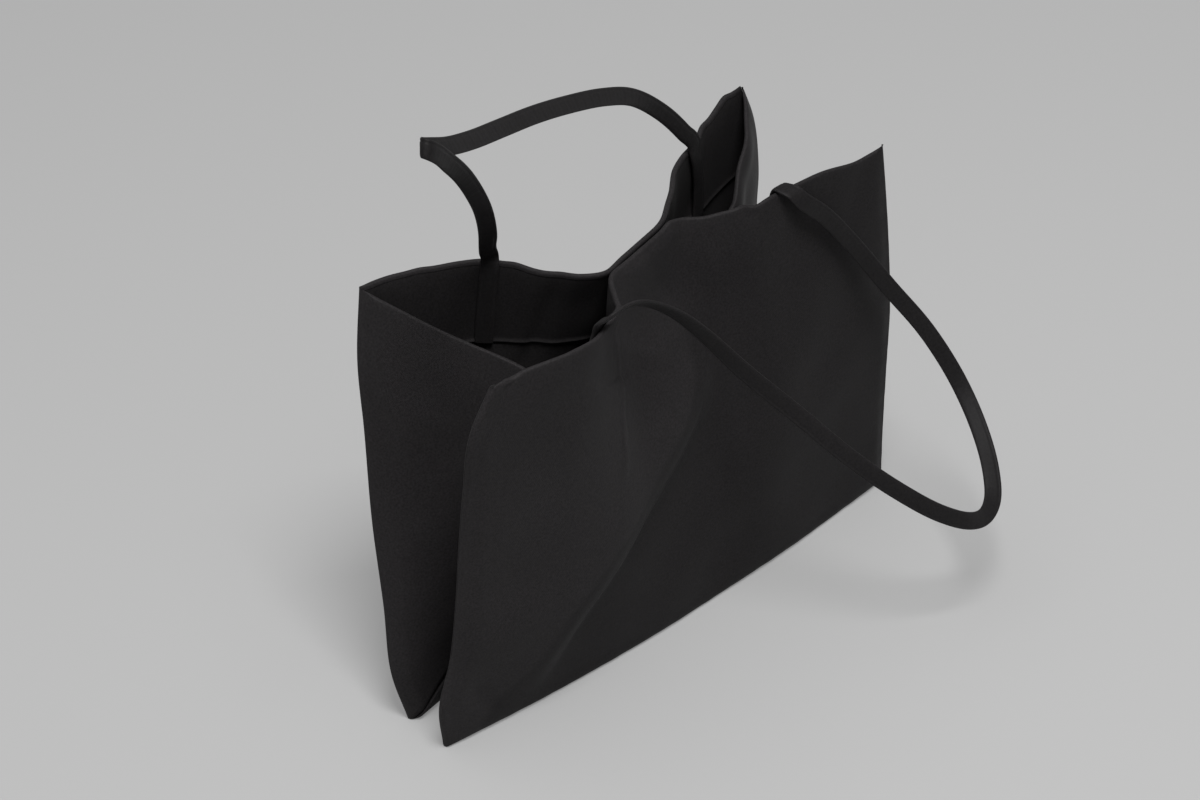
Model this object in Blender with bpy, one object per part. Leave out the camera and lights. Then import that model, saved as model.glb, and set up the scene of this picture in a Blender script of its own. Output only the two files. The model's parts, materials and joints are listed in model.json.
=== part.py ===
"""Satin tote bag, standing open with its two straps as they fell.

Two flat padded panels are joined round their sides and bottom by one padded
strip, which folds inwards as two side gussets and a pleated base. A magnetic
snap closes the mouth in the middle. Each strap has two ends sewn down inside
the mouth and a free loop that swings about the line through those two ends.

All lengths are in metres. +X runs to the right, +Y to the back and +Z up, and
the front faces -Y.
"""
import math

import bpy
import bmesh
import numpy as np
from mathutils import Matrix, Vector

# Overall sizes of the bag as it stands
half_width = 0.175
half_depth = 0.080
bag_height = 0.250

# The padded wall: two skins of cloth with wadding between them
skin_thickness = 0.0008
wadding_thickness = 0.0014
cloth_gap = 0.0003
seam_width = 0.005
seam_skin_gap = 0.0003
rim_rounding = 0.002
rim_draw = 0.0003
facing_height = 0.050
mitre_gap = 0.0010
mitre_crease_gap = 0.0030
panel_belly = 0.004
stand_fade_start = 0.010
stand_fade_length = 0.050

# The straps
strap_width = 0.010
strap_thickness = 0.0025
strap_edge = 0.0006
strap_ring_spacing = 0.014
strap_ring_turn = math.radians(24)
strap_end_start = math.radians(18)
strap_end_rings = 4
front_strap_stubs = (0.004, 0.0)
back_strap_stubs = (0.0, 0.0)
front_strap_lean = math.radians(75)
back_strap_lean = 0.0

# How finely the cloth is divided, and how far apart slopes are probed
panel_column_counts = (3, 1, 4, 1, 1, 4, 1, 3)
panel_field_rows = 5
gusset_field_rows = 5
base_rows = 12
strip_half_columns = 3
normal_probe_share = 0.002
strap_probe_share = 0.002
weld_distance = 0.000003

# The magnetic snap, closed
snap_radius = 0.0085
snap_depth = 0.0175
snap_flat_half_width = 0.010
snap_flat_fade = 0.034
snap_flat_start = 0.008
snap_flat_end = 0.027
snap_flat_release = 0.040
stud_thickness = 0.0014
nub_radius = 0.0020
nub_height = 0.0013
cup_height = 0.0028
cup_face = 0.0005
cup_wall = 0.0006
magnet_height = 0.0010
post_radius = 0.0015
washer_radius = 0.0068
washer_height = 0.0006
running_gap = 0.0003
cut_overrun = 0.002
turning_steps = 20

# The inner fold of the strip: its radius, how far it reaches as a share of a half strip,
# and where along a gusset and the base the half strip's width is taken
crease_radius = 0.004
crease_share = 0.07
gusset_width_share = 0.6
base_width_share = 0.5

# Where things sit along a panel's rim, as shares of the rim's length
snap_rim_share = 0.5
front_strap_rim_shares = (0.226, 0.774)
back_strap_rim_shares = (0.210, 0.785)

# How fast the rim's shape fades down a panel
rim_fade_share = 1.35

# The pinch: the line where both rims meet, y = offset + slope * x
pinch_offset_share = 0.004
pinch_slope_share = 0.21

# Corner points of the panels, as shares of half_width, half_depth, bag_height
front_left_top_shares = (-0.853, -0.475, 0.992)
front_right_top_shares = (0.887, -0.400, 1.012)
front_left_foot_shares = (-0.973, -0.200, 0.0)
front_right_foot_shares = (1.007, -0.350, 0.0)
back_left_top_shares = (-0.786, 0.962, 0.990)
back_right_top_shares = (0.854, 0.900, 0.988)
back_left_foot_shares = (-0.966, 0.200, 0.0)
back_right_foot_shares = (0.989, 0.200, 0.0)

# Rims between those corners, on each side of the pinch, in the same shares
front_rim_left_shares = ((-0.737, -0.494, 0.996), (-0.566, -0.550, 1.0),
                         (-0.451, -0.556, 1.0), (-0.394, -0.519, 1.0),
                         (-0.309, -0.400, 0.996))
front_rim_right_shares = ((0.143, 0.012, 0.994), (0.217, -0.062, 0.996),
                          (0.366, -0.237, 1.0), (0.474, -0.269, 1.0),
                          (0.640, -0.312, 1.0), (0.789, -0.370, 1.0))
front_pinch_width_shares = (-0.189, -0.046, 0.080)
back_rim_left_shares = ((-0.674, 0.925, 0.988), (-0.560, 0.812, 0.988),
                        (-0.480, 0.700, 0.992), (-0.417, 0.594, 0.992),
                        (-0.383, 0.475, 0.992), (-0.331, 0.225, 0.992),
                        (-0.274, 0.030, 0.992))
back_rim_right_shares = ((0.149, 0.160, 0.992), (0.257, 0.312, 0.992),
                         (0.349, 0.475, 0.992), (0.417, 0.550, 0.992),
                         (0.509, 0.612, 0.992), (0.611, 0.725, 0.990),
                         (0.760, 0.870, 0.988))
back_pinch_width_shares = (-0.200, -0.080, 0.046)
pinch_height_share = 0.992

# Side edges of the panels, between foot and top
front_left_edge_shares = ((-1.0, -0.237, 0.128), (-0.965, -0.269, 0.248),
                          (-0.949, -0.312, 0.416), (-0.949, -0.362, 0.584),
                          (-0.943, -0.406, 0.740), (-0.926, -0.450, 0.892))
front_right_edge_shares = ((0.997, -0.356, 0.128), (0.989, -0.367, 0.348),
                           (0.983, -0.377, 0.540), (0.954, -0.385, 0.716),
                           (0.909, -0.395, 0.920))
back_left_edge_shares = ((-0.994, 0.287, 0.128), (-0.963, 0.412, 0.280),
                         (-0.931, 0.575, 0.488), (-0.886, 0.725, 0.688),
                         (-0.851, 0.850, 0.840))
back_right_edge_shares = ((0.983, 0.300, 0.160), (0.950, 0.480, 0.360),
                          (0.900, 0.650, 0.560), (0.885, 0.735, 0.700),
                          (0.887, 0.785, 0.800), (0.886, 0.848, 0.908))

# Feet of the panels, from left to right
front_foot_shares = ((-0.566, -0.312, 0.0), (-0.103, -0.387, 0.0),
                     (0.223, -0.400, 0.0), (0.520, -0.400, 0.0))
back_foot_shares = ((-0.571, 0.325, 0.0), (0.0, 0.400, 0.0), (0.571, 0.325, 0.0))

# The inner fold of the strip: down the left side, along the base, up the right
left_crease_shares = ((-0.640, 0.0, 0.220), (-0.583, -0.012, 0.480), (-0.505, -0.054, 0.836))
right_crease_shares = ((0.651, -0.062, 0.220), (0.583, 0.050, 0.520), (0.480, 0.226, 0.872))
base_crease_middle_shares = (0.0, 0.0, 0.232)

# The free loops: place in the same shares, then the direction across the strap
front_loop_shares = (
    ((-0.429, -0.569, 1.031), (0.9, 0.3, -0.3)), ((-0.407, -0.590, 1.040), (0.7, 0.4, -0.6)),
    ((-0.374, -0.590, 1.043), (0.4, 0.6, -0.7)), ((-0.331, -0.578, 1.035), (0.3, 0.6, -0.7)),
    ((-0.246, -0.552, 1.002), (0.1, 0.6, -0.8)), ((-0.137, -0.562, 0.940), (-0.2, 0.5, -0.9)),
    ((-0.027, -0.612, 0.851), (-0.4, 0.4, -0.8)), ((0.078, -0.775, 0.741), (-0.6, 0.2, -0.7)),
    ((0.201, -1.050, 0.621), (-0.8, 0.1, -0.6)), ((0.296, -1.337, 0.521), (-0.8, 0.1, -0.6)),
    ((0.406, -1.600, 0.430), (-0.7, 0.0, -0.7)), ((0.541, -1.775, 0.342), (-0.7, -0.1, -0.7)),
    ((0.636, -1.838, 0.298), (-0.5, -0.4, -0.8)), ((0.721, -1.825, 0.274), (0.0, -0.7, -0.7)),
    ((0.801, -1.750, 0.277), (0.5, -0.8, -0.3)), ((0.867, -1.600, 0.311), (0.8, -0.6, 0.0)),
    ((0.933, -1.362, 0.360), (0.8, -0.5, 0.2)), ((0.968, -1.113, 0.424), (0.8, -0.4, 0.4)),
    ((0.927, -0.837, 0.552), (0.8, -0.3, 0.5)), ((0.830, -0.637, 0.677), (0.8, -0.2, 0.6)),
    ((0.700, -0.500, 0.825), (0.8, -0.2, 0.6)), ((0.581, -0.435, 0.936), (0.8, -0.1, 0.6)),
    ((0.505, -0.395, 0.989), (0.9, 0.0, 0.4)), ((0.491, -0.356, 1.005), (1.0, 0.0, 0.2)),
    ((0.481, -0.304, 1.010), (1.0, 0.0, 0.1)))
back_loop_shares = (
    ((-0.450, 0.500, 1.040), (0.9, -0.3, 0.0)), ((-0.503, 0.370, 1.116), (0.7, -0.6, 0.1)),
    ((-0.601, 0.168, 1.236), (0.8, -0.6, 0.2)), ((-0.720, -0.037, 1.356), (0.8, -0.4, 0.4)),
    ((-0.836, -0.201, 1.464), (0.8, -0.2, 0.5)), ((-0.947, -0.345, 1.552), (0.7, 0.1, 0.7)),
    ((-1.026, -0.430, 1.612), (0.5, 0.3, 0.8)), ((-1.062, -0.440, 1.634), (0.4, 0.4, 0.8)),
    ((-1.066, -0.390, 1.632), (0.4, 0.4, 0.8)), ((-1.037, -0.345, 1.614), (0.3, 0.5, 0.8)),
    ((-0.987, -0.310, 1.594), (0.2, 0.6, 0.8)), ((-0.923, -0.265, 1.568), (0.1, 0.7, 0.7)),
    ((-0.784, -0.150, 1.520), (0.0, 0.7, 0.7)), ((-0.595, 0.015, 1.464), (0.0, 0.7, 0.7)),
    ((-0.387, 0.176, 1.408), (0.0, 0.7, 0.7)), ((-0.181, 0.318, 1.348), (0.1, 0.7, 0.7)),
    ((0.022, 0.442, 1.284), (0.2, 0.6, 0.8)), ((0.176, 0.523, 1.224), (0.4, 0.4, 0.8)),
    ((0.280, 0.555, 1.164), (0.7, 0.1, 0.7)), ((0.352, 0.545, 1.112), (0.8, 0.0, 0.6)),
    ((0.415, 0.540, 1.056), (0.9, 0.0, 0.3)))

# What follows from the sizes above
skin_middle = wadding_thickness / 2 + cloth_gap + skin_thickness / 2
seam_middle = (seam_skin_gap + skin_thickness) / 2
wall_half = skin_middle + skin_thickness / 2
seam_half = seam_middle + skin_thickness / 2
rim_half_gap = wall_half + cloth_gap / 2
snap_closed = stud_thickness + cup_height + 3 * running_gap
snap_half_gap = wall_half + snap_closed / 2
strap_middle = wall_half + cloth_gap + strap_thickness / 2
pivot_height = strap_thickness / 2 + cloth_gap

MATERIALS = {
    "satin": ((0.018, 0.017, 0.018, 1.0), 0.42, 0.0),
    "lining": ((0.010, 0.010, 0.011, 1.0), 0.75, 0.0),
    "facing": ((0.012, 0.012, 0.013, 1.0), 0.60, 0.0),
    "wadding": ((0.60, 0.60, 0.58, 1.0), 0.95, 0.0),
    "strap_satin": ((0.022, 0.021, 0.022, 1.0), 0.40, 0.0),
    "snap_steel": ((0.30, 0.30, 0.31, 1.0), 0.35, 1.0),
    "magnet": ((0.12, 0.12, 0.13, 1.0), 0.45, 0.8),
}


def clear_scene():
    for thing in list(bpy.data.objects):
        bpy.data.objects.remove(thing, do_unlink=True)


def material(name):
    found = bpy.data.materials.get(name)
    if found is None:
        colour, roughness, metallic = MATERIALS[name]
        found = bpy.data.materials.new(name)
        found.use_nodes = True
        shader = found.node_tree.nodes["Principled BSDF"]
        shader.inputs["Base Color"].default_value = colour
        shader.inputs["Roughness"].default_value = roughness
        shader.inputs["Metallic"].default_value = metallic
    return found


def add_object(name, mesh, finish):
    thing = bpy.data.objects.new(name, mesh)
    mesh.materials.append(material(finish))
    bpy.context.scene.collection.objects.link(thing)
    return thing


def place(shares):
    """Turn shares of the three driving sizes into a point."""
    return np.array([shares[0] * half_width, shares[1] * half_depth, shares[2] * bag_height])


def smooth_step(value):
    """Rise smoothly from 0 to 1 as the value goes from 0 to 1."""
    value = min(max(value, 0.0), 1.0)
    return value * value * (3 - 2 * value)


def unit(vector):
    return vector / np.linalg.norm(vector)


def curve_through(points):
    """Return a function of 0..1 that runs smoothly through the points by length."""
    points = np.array(points, float)
    steps = np.linalg.norm(np.diff(points[:, :3], axis=0), axis=1)
    knots = np.concatenate([[0.0], np.cumsum(steps)])
    slopes = np.empty_like(points)
    chords = np.diff(points, axis=0) / steps[:, None]
    slopes[0], slopes[-1] = chords[0], chords[-1]
    weights = (steps[1:] / (steps[:-1] + steps[1:]))[:, None]
    slopes[1:-1] = weights * chords[:-1] + (1 - weights) * chords[1:]

    def at(share):
        length = min(max(share, 0.0), 1.0) * knots[-1]
        k = int(min(np.searchsorted(knots, length, side="right") - 1, len(steps) - 1))
        h = steps[k]
        t = (length - knots[k]) / h
        ends = (2 * t**3 - 3 * t**2 + 1) * points[k] + (3 * t**2 - 2 * t**3) * points[k + 1]
        bends = (t**3 - 2 * t**2 + t) * slopes[k] + (t**3 - t**2) * slopes[k + 1]
        return ends + h * bends

    at.length = knots[-1]
    return at


def pinch_line(x):
    """The plan line on which both rims meet."""
    return pinch_offset_share * half_depth + pinch_slope_share * x


def rim_curve(left_top, left, pinch_widths, right, right_top, side):
    """A rim: open on the left, on the pinch line in the middle, open on the right."""
    points = [place(left_top)] + [place(row) for row in left]
    for width_share in pinch_widths:
        x = width_share * half_width
        y = pinch_line(x) + side * rim_half_gap
        points.append(np.array([x, y, pinch_height_share * bag_height]))
    points += [place(row) for row in right] + [place(right_top)]
    return curve_through(points)


def edge_curve(foot, middle, top):
    return curve_through([place(foot)] + [place(row) for row in middle] + [place(top)])


front_rim = rim_curve(front_left_top_shares, front_rim_left_shares, front_pinch_width_shares,
                      front_rim_right_shares, front_right_top_shares, -1)
back_rim = rim_curve(back_left_top_shares, back_rim_left_shares, back_pinch_width_shares,
                     back_rim_right_shares, back_right_top_shares, 1)
front_left_edge = edge_curve(front_left_foot_shares, front_left_edge_shares, front_left_top_shares)
front_right_edge = edge_curve(front_right_foot_shares, front_right_edge_shares,
                              front_right_top_shares)
back_left_edge = edge_curve(back_left_foot_shares, back_left_edge_shares, back_left_top_shares)
back_right_edge = edge_curve(back_right_foot_shares, back_right_edge_shares,
                             back_right_top_shares)
front_foot = edge_curve(front_left_foot_shares, front_foot_shares, front_right_foot_shares)
back_foot = edge_curve(back_left_foot_shares, back_foot_shares, back_right_foot_shares)
left_crease = curve_through([place(row) for row in left_crease_shares])
right_crease = curve_through([place(row) for row in right_crease_shares])
base_crease = edge_curve(left_crease_shares[0], (base_crease_middle_shares,),
                         right_crease_shares[0])


def panel_surface(foot, rim, left, right, side):
    """The middle of a panel: u from left to right, v from foot to rim.

    A patch between the four curves, in which the rim's shape fades downwards,
    with a belly outwards and a flat place for the snap.
    """
    width = rim.length
    height = bag_height

    def at(u, v):
        g = v**rim_fade_share
        across = (1 - g) * foot(u) + g * rim(u)
        along = (1 - u) * left(v) + u * right(v)
        corners = ((1 - u) * (1 - g) * foot(0) + u * (1 - g) * foot(1)
                   + (1 - u) * g * rim(0) + u * g * rim(1))
        point = across + along - corners
        point[1] += side * panel_belly * 4 * u * (1 - u) * math.sin(math.pi * min(v, 1.0))
        depth = (1 - v) * height
        sideways = abs(u - snap_rim_share) * width
        spread = 1 - smooth_step((sideways - snap_flat_half_width) / snap_flat_fade)
        hold = 1 - smooth_step((depth - snap_flat_end) / snap_flat_release)
        opening = smooth_step(depth / snap_flat_start)
        gap = rim_half_gap + (snap_half_gap - rim_half_gap) * opening
        target = pinch_line(point[0]) + side * gap * math.hypot(1, pinch_slope_share)
        point[1] += spread * hold * (target - point[1])
        return point

    return at


front_surface = panel_surface(front_foot, front_rim, front_left_edge, front_right_edge, -1)
back_surface = panel_surface(back_foot, back_rim, back_left_edge, back_right_edge, 1)


def normal_at(surface, u, v, sign):
    """The surface's unit normal, turned by sign."""
    step = normal_probe_share
    along_u = surface(min(u + step, 1), v) - surface(max(u - step, 0), v)
    along_v = surface(u, min(v + step, 1)) - surface(u, max(v - step, 0))
    return sign * unit(np.cross(along_u, along_v))


def strip_surface(front_edge, crease, back_edge, front_inward, back_inward, mitres):
    """The middle of a folded strip: s across it from front to back, t along it.

    Near each sewn edge it stands off the panel that it is sewn to. At a mitred end
    it stops short of the piece that it meets, most at the crease.
    """
    seam_stand = 2 * seam_half + cloth_gap
    wall_stand = 2 * wall_half + cloth_gap

    def stand_off(distance):
        rise = seam_stand + (wall_stand - seam_stand) * smooth_step(distance / seam_width)
        return rise * (1 - smooth_step((distance - stand_fade_start) / stand_fade_length))

    def at(s, t):
        side = 1 - 2 * s
        cut = mitre_gap + mitre_crease_gap * (1 - side**2)
        first, last = mitres[0] * cut, 1 - mitres[1] * cut
        t = first + (last - first) * t
        front, middle, back = front_edge(t), crease(t), back_edge(t)
        bent = math.sqrt(side**2 + crease_share**2)
        peak = (1 + math.sqrt(1 + crease_share**2)) / 2
        front_part = (bent + side) / 2 / peak
        back_part = (bent - side) / 2 / peak
        point = middle + (front - middle) * front_part + (back - middle) * back_part
        point = point + unit(front - back) * crease_radius * side / bent * (1 - side**2)
        front_away = 2 * s * np.linalg.norm(front - middle)
        back_away = 2 * (1 - s) * np.linalg.norm(back - middle)
        if s < 0.5:
            point = point + front_inward(t) * stand_off(front_away)
        else:
            point = point + back_inward(t) * stand_off(back_away)
        return point

    return at


def inward(surface, place_on_edge, sign):
    """The panel's level inward normal along one edge."""
    def at(t):
        normal = normal_at(surface, *place_on_edge(t), sign)
        return unit(np.array([normal[0], normal[1], 0.0]))
    return at


left_strip = strip_surface(
    front_left_edge, left_crease, back_left_edge,
    inward(front_surface, lambda t: (0, t), -1), inward(back_surface, lambda t: (0, t), 1),
    (1 / left_crease.length, 0))
right_strip = strip_surface(
    front_right_edge, right_crease, back_right_edge,
    inward(front_surface, lambda t: (1, t), -1), inward(back_surface, lambda t: (1, t), 1),
    (1 / right_crease.length, 0))
base_strip = strip_surface(
    front_foot, base_crease, back_foot,
    inward(front_surface, lambda t: (t, 0), -1), inward(back_surface, lambda t: (t, 0), 1),
    (1 / base_crease.length, 1 / base_crease.length))


def closed_sheet(name, finish, surface, sign, us, vs, middle, thickness, level=None):
    """A closed solid that lies at a distance from the surface along its normal."""
    mesh = bmesh.new()
    sides = []
    for way in (0.5, -0.5):
        rows = []
        for u in us:
            row = []
            for v in vs:
                normal = normal_at(surface, u, v, sign)
                point = surface(u, v) + normal * (middle(u, v) + way * thickness)
                if level is not None:
                    height = level(u, v)
                    if height is not None:
                        point[2] = height
                row.append(mesh.verts.new(point))
            rows.append(row)
        sides.append(rows)
    last_u, last_v = len(us) - 1, len(vs) - 1
    for rows in sides:
        for i in range(last_u):
            for j in range(last_v):
                a, b, c, d = rows[i][j], rows[i + 1][j], rows[i + 1][j + 1], rows[i][j + 1]
                mesh.faces.new((a, b, c))
                mesh.faces.new((a, c, d))
    ring = ([(i, 0) for i in range(last_u)] + [(last_u, j) for j in range(last_v)]
            + [(i, last_v) for i in range(last_u, 0, -1)] + [(0, j) for j in range(last_v, 0, -1)])
    for k, (i, j) in enumerate(ring):
        m, n = ring[(k + 1) % len(ring)]
        mesh.faces.new((sides[0][i][j], sides[0][m][n], sides[1][m][n]))
        mesh.faces.new((sides[0][i][j], sides[1][m][n], sides[1][i][j]))
    bmesh.ops.recalc_face_normals(mesh, faces=mesh.faces)
    data = bpy.data.meshes.new(name)
    mesh.to_mesh(data)
    mesh.free()
    return add_object(name, data, finish)


def between(first, last, count):
    """Evenly spaced shares from first to last."""
    return [first + (last - first) * k / count for k in range(count + 1)]


def panel_columns(rim, strap_shares):
    """Where a panel is divided across: seams, strap edges, the snap and evenly between."""
    seam = seam_width / rim.length
    strap = strap_width / 2 / rim.length
    flat = snap_flat_half_width / rim.length
    marks = [seam, strap_shares[0] - strap, strap_shares[0] + strap,
             snap_rim_share - flat, snap_rim_share, snap_rim_share + flat,
             strap_shares[1] - strap, strap_shares[1] + strap, 1 - seam]
    columns = [0.0]
    for first, last, count in zip(marks[:-1], marks[1:], panel_column_counts):
        columns += between(first, last, count)[:-1]
    return columns + [marks[-1], 1.0]


def panel_rows():
    """Where a panel is divided upwards: seam, field, facing, snap and rim."""
    seam = seam_width / bag_height
    facing = 1 - facing_height / bag_height
    return ([0.0] + between(seam, facing, panel_field_rows)
            + [1 - snap_flat_end / bag_height, 1 - snap_depth / bag_height,
               1 - snap_flat_start / bag_height, 1 - rim_rounding / bag_height, 1.0])


def skin_place(seam_distance, rim_distance):
    """How far a skin's middle lies from the wall's, drawn in at seams and rim."""
    seam_share = min(max(seam_distance / seam_width, 0.0), 1.0)
    rim_share = min(max(rim_distance / rim_rounding, 0.0), 1.0)
    middle = seam_middle + (skin_middle - seam_middle) * seam_share
    return max(middle - rim_draw * (1 - rim_share), seam_middle)


def panel_wall(prefix, surface, rim, sign, strap_shares):
    """The four layers of a panel: outer skin, wadding, facing and lining."""
    columns, rows = panel_columns(rim, strap_shares), panel_rows()
    facing_row = 1 + panel_field_rows
    seam_gap = cloth_gap / bag_height

    def skin(u, v):
        edge = min(u * rim.length, (1 - u) * rim.length, v * bag_height)
        return skin_place(edge, (1 - v) * bag_height)

    def floor(u, v):
        return 0.0 if v == 0 else None

    closed_sheet(prefix + "_panel", "satin", surface, sign, columns, rows,
                 skin, skin_thickness, floor)
    closed_sheet(prefix + "_wadding", "wadding", surface, sign, columns[1:-1], rows[1:-1],
                 lambda u, v: 0.0, wadding_thickness)
    closed_sheet(prefix + "_lining", "lining", surface, sign, columns,
                 rows[:facing_row] + [rows[facing_row] - seam_gap],
                 lambda u, v: -skin(u, v), skin_thickness, floor)
    closed_sheet(prefix + "_facing", "facing", surface, sign, columns, rows[facing_row:],
                 lambda u, v: -skin(u, v), skin_thickness)


def strip_columns(half_strip):
    """Where a folded strip is divided across: seams, halves and the crease."""
    seam = seam_width / half_strip / 2
    return ([0.0, seam] + between(2 * seam, 0.5 - crease_share, strip_half_columns)
            + [0.5 - crease_share / 3, 0.5, 0.5 + crease_share / 3]
            + between(0.5 + crease_share, 1 - 2 * seam, strip_half_columns) + [1 - seam, 1.0])


def gusset_wall(prefix, surface, sign, half_strip):
    """The layers of a side gusset, from the mitre at its foot to the mouth."""
    columns = strip_columns(half_strip)
    facing = 1 - facing_height / bag_height
    facing_row = gusset_field_rows
    rows = (between(0, facing, facing_row)
            + [1 - facing_height / 2 / bag_height, 1 - rim_rounding / bag_height, 1.0])
    seam_gap = cloth_gap / bag_height

    def skin(s, t):
        edge = min(s, 1 - s) * 2 * half_strip
        return skin_place(edge, (1 - t) * bag_height)

    closed_sheet(prefix + "_gusset", "satin", surface, sign, columns, rows,
                 skin, skin_thickness)
    closed_sheet(prefix + "_gusset_wadding", "wadding", surface, sign, columns[1:-1],
                 rows[:-1], lambda s, t: 0.0, wadding_thickness)
    closed_sheet(prefix + "_gusset_lining", "lining", surface, sign, columns,
                 rows[:facing_row] + [rows[facing_row] - seam_gap],
                 lambda s, t: -skin(s, t), skin_thickness)
    closed_sheet(prefix + "_gusset_facing", "facing", surface, sign, columns, rows[facing_row:],
                 lambda s, t: -skin(s, t), skin_thickness)


def base_wall(sign, half_strip):
    """The layers of the pleated base, between the two mitres."""
    columns = strip_columns(half_strip)
    rows = between(0, 1, base_rows)

    def skin(s, t):
        return skin_place(min(s, 1 - s) * 2 * half_strip, rim_rounding)

    def floor(s, t):
        return 0.0 if s in (0.0, 1.0) else None

    closed_sheet("base_gusset", "satin", base_strip, sign, columns, rows,
                 skin, skin_thickness, floor)
    closed_sheet("base_wadding", "wadding", base_strip, sign, columns[1:-1], rows,
                 lambda s, t: 0.0, wadding_thickness)
    closed_sheet("base_lining", "lining", base_strip, sign, columns, rows,
                 lambda s, t: -skin(s, t), skin_thickness, floor)


def half_strip_length(front_edge, crease, t):
    return float(np.linalg.norm(front_edge(t) - crease(t)))


def strap_root(surface, sign, share, stub):
    """The pivot of a strap: just above the stub in which its sewn end stands over the rim."""
    top = surface(share, 1)
    normal = normal_at(surface, share, 1, sign)
    root = top - normal * strap_middle
    root[2] = top[2] + stub + pivot_height
    return root


def sewn_end(name, surface, rim, sign, share, stub):
    """A strap's end, sewn flat to the facing from its lower seam to a stub over the rim."""
    half = strap_width / 2 / rim.length
    rows = panel_rows()[1 + panel_field_rows:]
    top = surface(share, 1)[2] + stub
    closed_sheet(name, "strap_satin", surface, sign, [share - half, share + half], rows,
                 lambda u, v: -strap_middle, strap_thickness,
                 lambda u, v: top if v == 1 else None)


def ring_profile(thickness, width):
    """The strap's section with its edges taken off, as pairs along width and thickness."""
    a, b, e = width / 2, thickness / 2, min(strap_edge, thickness / 4)
    return ((a, b - e), (a - e, b), (e - a, b), (-a, b - e),
            (-a, e - b), (e - a, -b), (a - e, -b), (a, e - b))


def strap_stations(first_root, last_root, rows, lean):
    """Where a loop's rings lie: centre, tangent, direction across and half thickness.

    A round end sits on each pivot, from which the strap leans outwards. In between, a
    ring follows where the strap has run or turned far enough since the last one.
    """
    axis = unit(last_root - first_root)
    up = np.array([0.0, 0.0, 1.0])
    leave = unit(up * math.cos(lean) + np.cross(axis, up) * math.sin(lean))
    lift = leave * strap_thickness
    points = [np.append(first_root, axis), np.append(first_root + lift, axis)]
    points += [np.append(place(spot), unit(np.array(across))) for spot, across in rows]
    points += [np.append(last_root + lift, axis), np.append(last_root, axis)]
    route = curve_through(points)
    radius = strap_thickness / 2

    def round_end(root, tangent):
        stations = []
        for angle in between(strap_end_start, math.pi / 2, strap_end_rings)[:-1]:
            centre = root - leave * radius * math.cos(angle)
            stations.append((centre, tangent, axis, radius * math.sin(angle)))
        return stations

    def station(share):
        here = route(share)
        ahead = route(min(share + strap_probe_share, 1)) - route(max(share - strap_probe_share, 0))
        tangent = unit(ahead[:3])
        across = unit(here[3:] - tangent * float(np.dot(here[3:], tangent)))
        return here[:3], tangent, across, radius

    stations = round_end(first_root, leave) + [(first_root, leave, axis, radius)]
    steps = int(route.length / strap_thickness)
    for k in range(1, steps):
        candidate = station(k / steps)
        last = stations[-1]
        run = np.linalg.norm(candidate[0] - last[0]) / strap_ring_spacing
        bend = (math.acos(min(1.0, float(np.dot(candidate[1], last[1]))))
                + math.acos(min(1.0, float(np.dot(candidate[2], last[2]))))) / strap_ring_turn
        if run + bend >= 1:
            stations.append(candidate)
    stations.append((last_root, -leave, axis, radius))
    return stations + round_end(last_root, -leave)[::-1]


def strap_loop(name, first_root, last_root, rows, lean):
    """A free loop: a flat strap through hand-chosen points, with its origin on its pivot."""
    mesh = bmesh.new()
    rings = []
    for centre, tangent, across, half in strap_stations(first_root, last_root, rows, lean):
        flat = unit(np.cross(tangent, across))
        rings.append([mesh.verts.new(centre + across * w + flat * t - first_root)
                      for w, t in ring_profile(2 * half, strap_width)])
    for a, b in zip(rings[:-1], rings[1:]):
        for k in range(len(a)):
            n = (k + 1) % len(a)
            mesh.faces.new((a[k], a[n], b[n], b[k]))
    mesh.faces.new(rings[0])
    mesh.faces.new(rings[-1])
    bmesh.ops.recalc_face_normals(mesh, faces=mesh.faces)
    bmesh.ops.triangulate(mesh, faces=mesh.faces)
    data = bpy.data.meshes.new(name)
    mesh.to_mesh(data)
    mesh.free()
    data.shade_smooth()
    add_object(name, data, "strap_satin").location = first_root


def strap(prefix, surface, rim, sign, rim_shares, stubs, lean, loop_shares):
    """A whole strap: two sewn ends and the free loop between their pivots."""
    for way, share, stub in zip(("left", "right"), rim_shares, stubs):
        sewn_end(prefix + "_strap_" + way + "_end", surface, rim, sign, share, stub)
    roots = [strap_root(surface, sign, share, stub) for share, stub in zip(rim_shares, stubs)]
    strap_loop(prefix + "_strap", roots[0], roots[1], loop_shares, lean)


def turned(name, finish, profile):
    """Turn a closed profile of radius and height about +Z."""
    mesh = bmesh.new()
    rings = []
    for k in range(turning_steps):
        angle = 2 * math.pi * k / turning_steps
        rings.append([mesh.verts.new((r * math.cos(angle), r * math.sin(angle), z))
                      for r, z in profile])
    for k in range(turning_steps):
        a, b = rings[k], rings[(k + 1) % turning_steps]
        for i in range(len(profile)):
            n = (i + 1) % len(profile)
            mesh.faces.new((a[i], b[i], b[n], a[n]))
    bmesh.ops.remove_doubles(mesh, verts=mesh.verts, dist=weld_distance)
    bmesh.ops.recalc_face_normals(mesh, faces=mesh.faces)
    data = bpy.data.meshes.new(name)
    mesh.to_mesh(data)
    mesh.free()
    return add_object(name, data, finish)


def snap_frame(side):
    """The snap's place on one panel: on the wall's middle, +Z towards the other panel."""
    share = 1 - snap_depth / bag_height
    centre = (front_surface(snap_rim_share, share) + back_surface(snap_rim_share, share)) / 2
    across = unit(np.array([-pinch_slope_share, 1.0, 0.0]))
    centre[1] = pinch_line(centre[0])
    turn = Vector(-side * across).to_track_quat("Z", "X").to_matrix().to_4x4()
    return Matrix.Translation(Vector(centre + side * across * snap_half_gap)) @ turn


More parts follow.
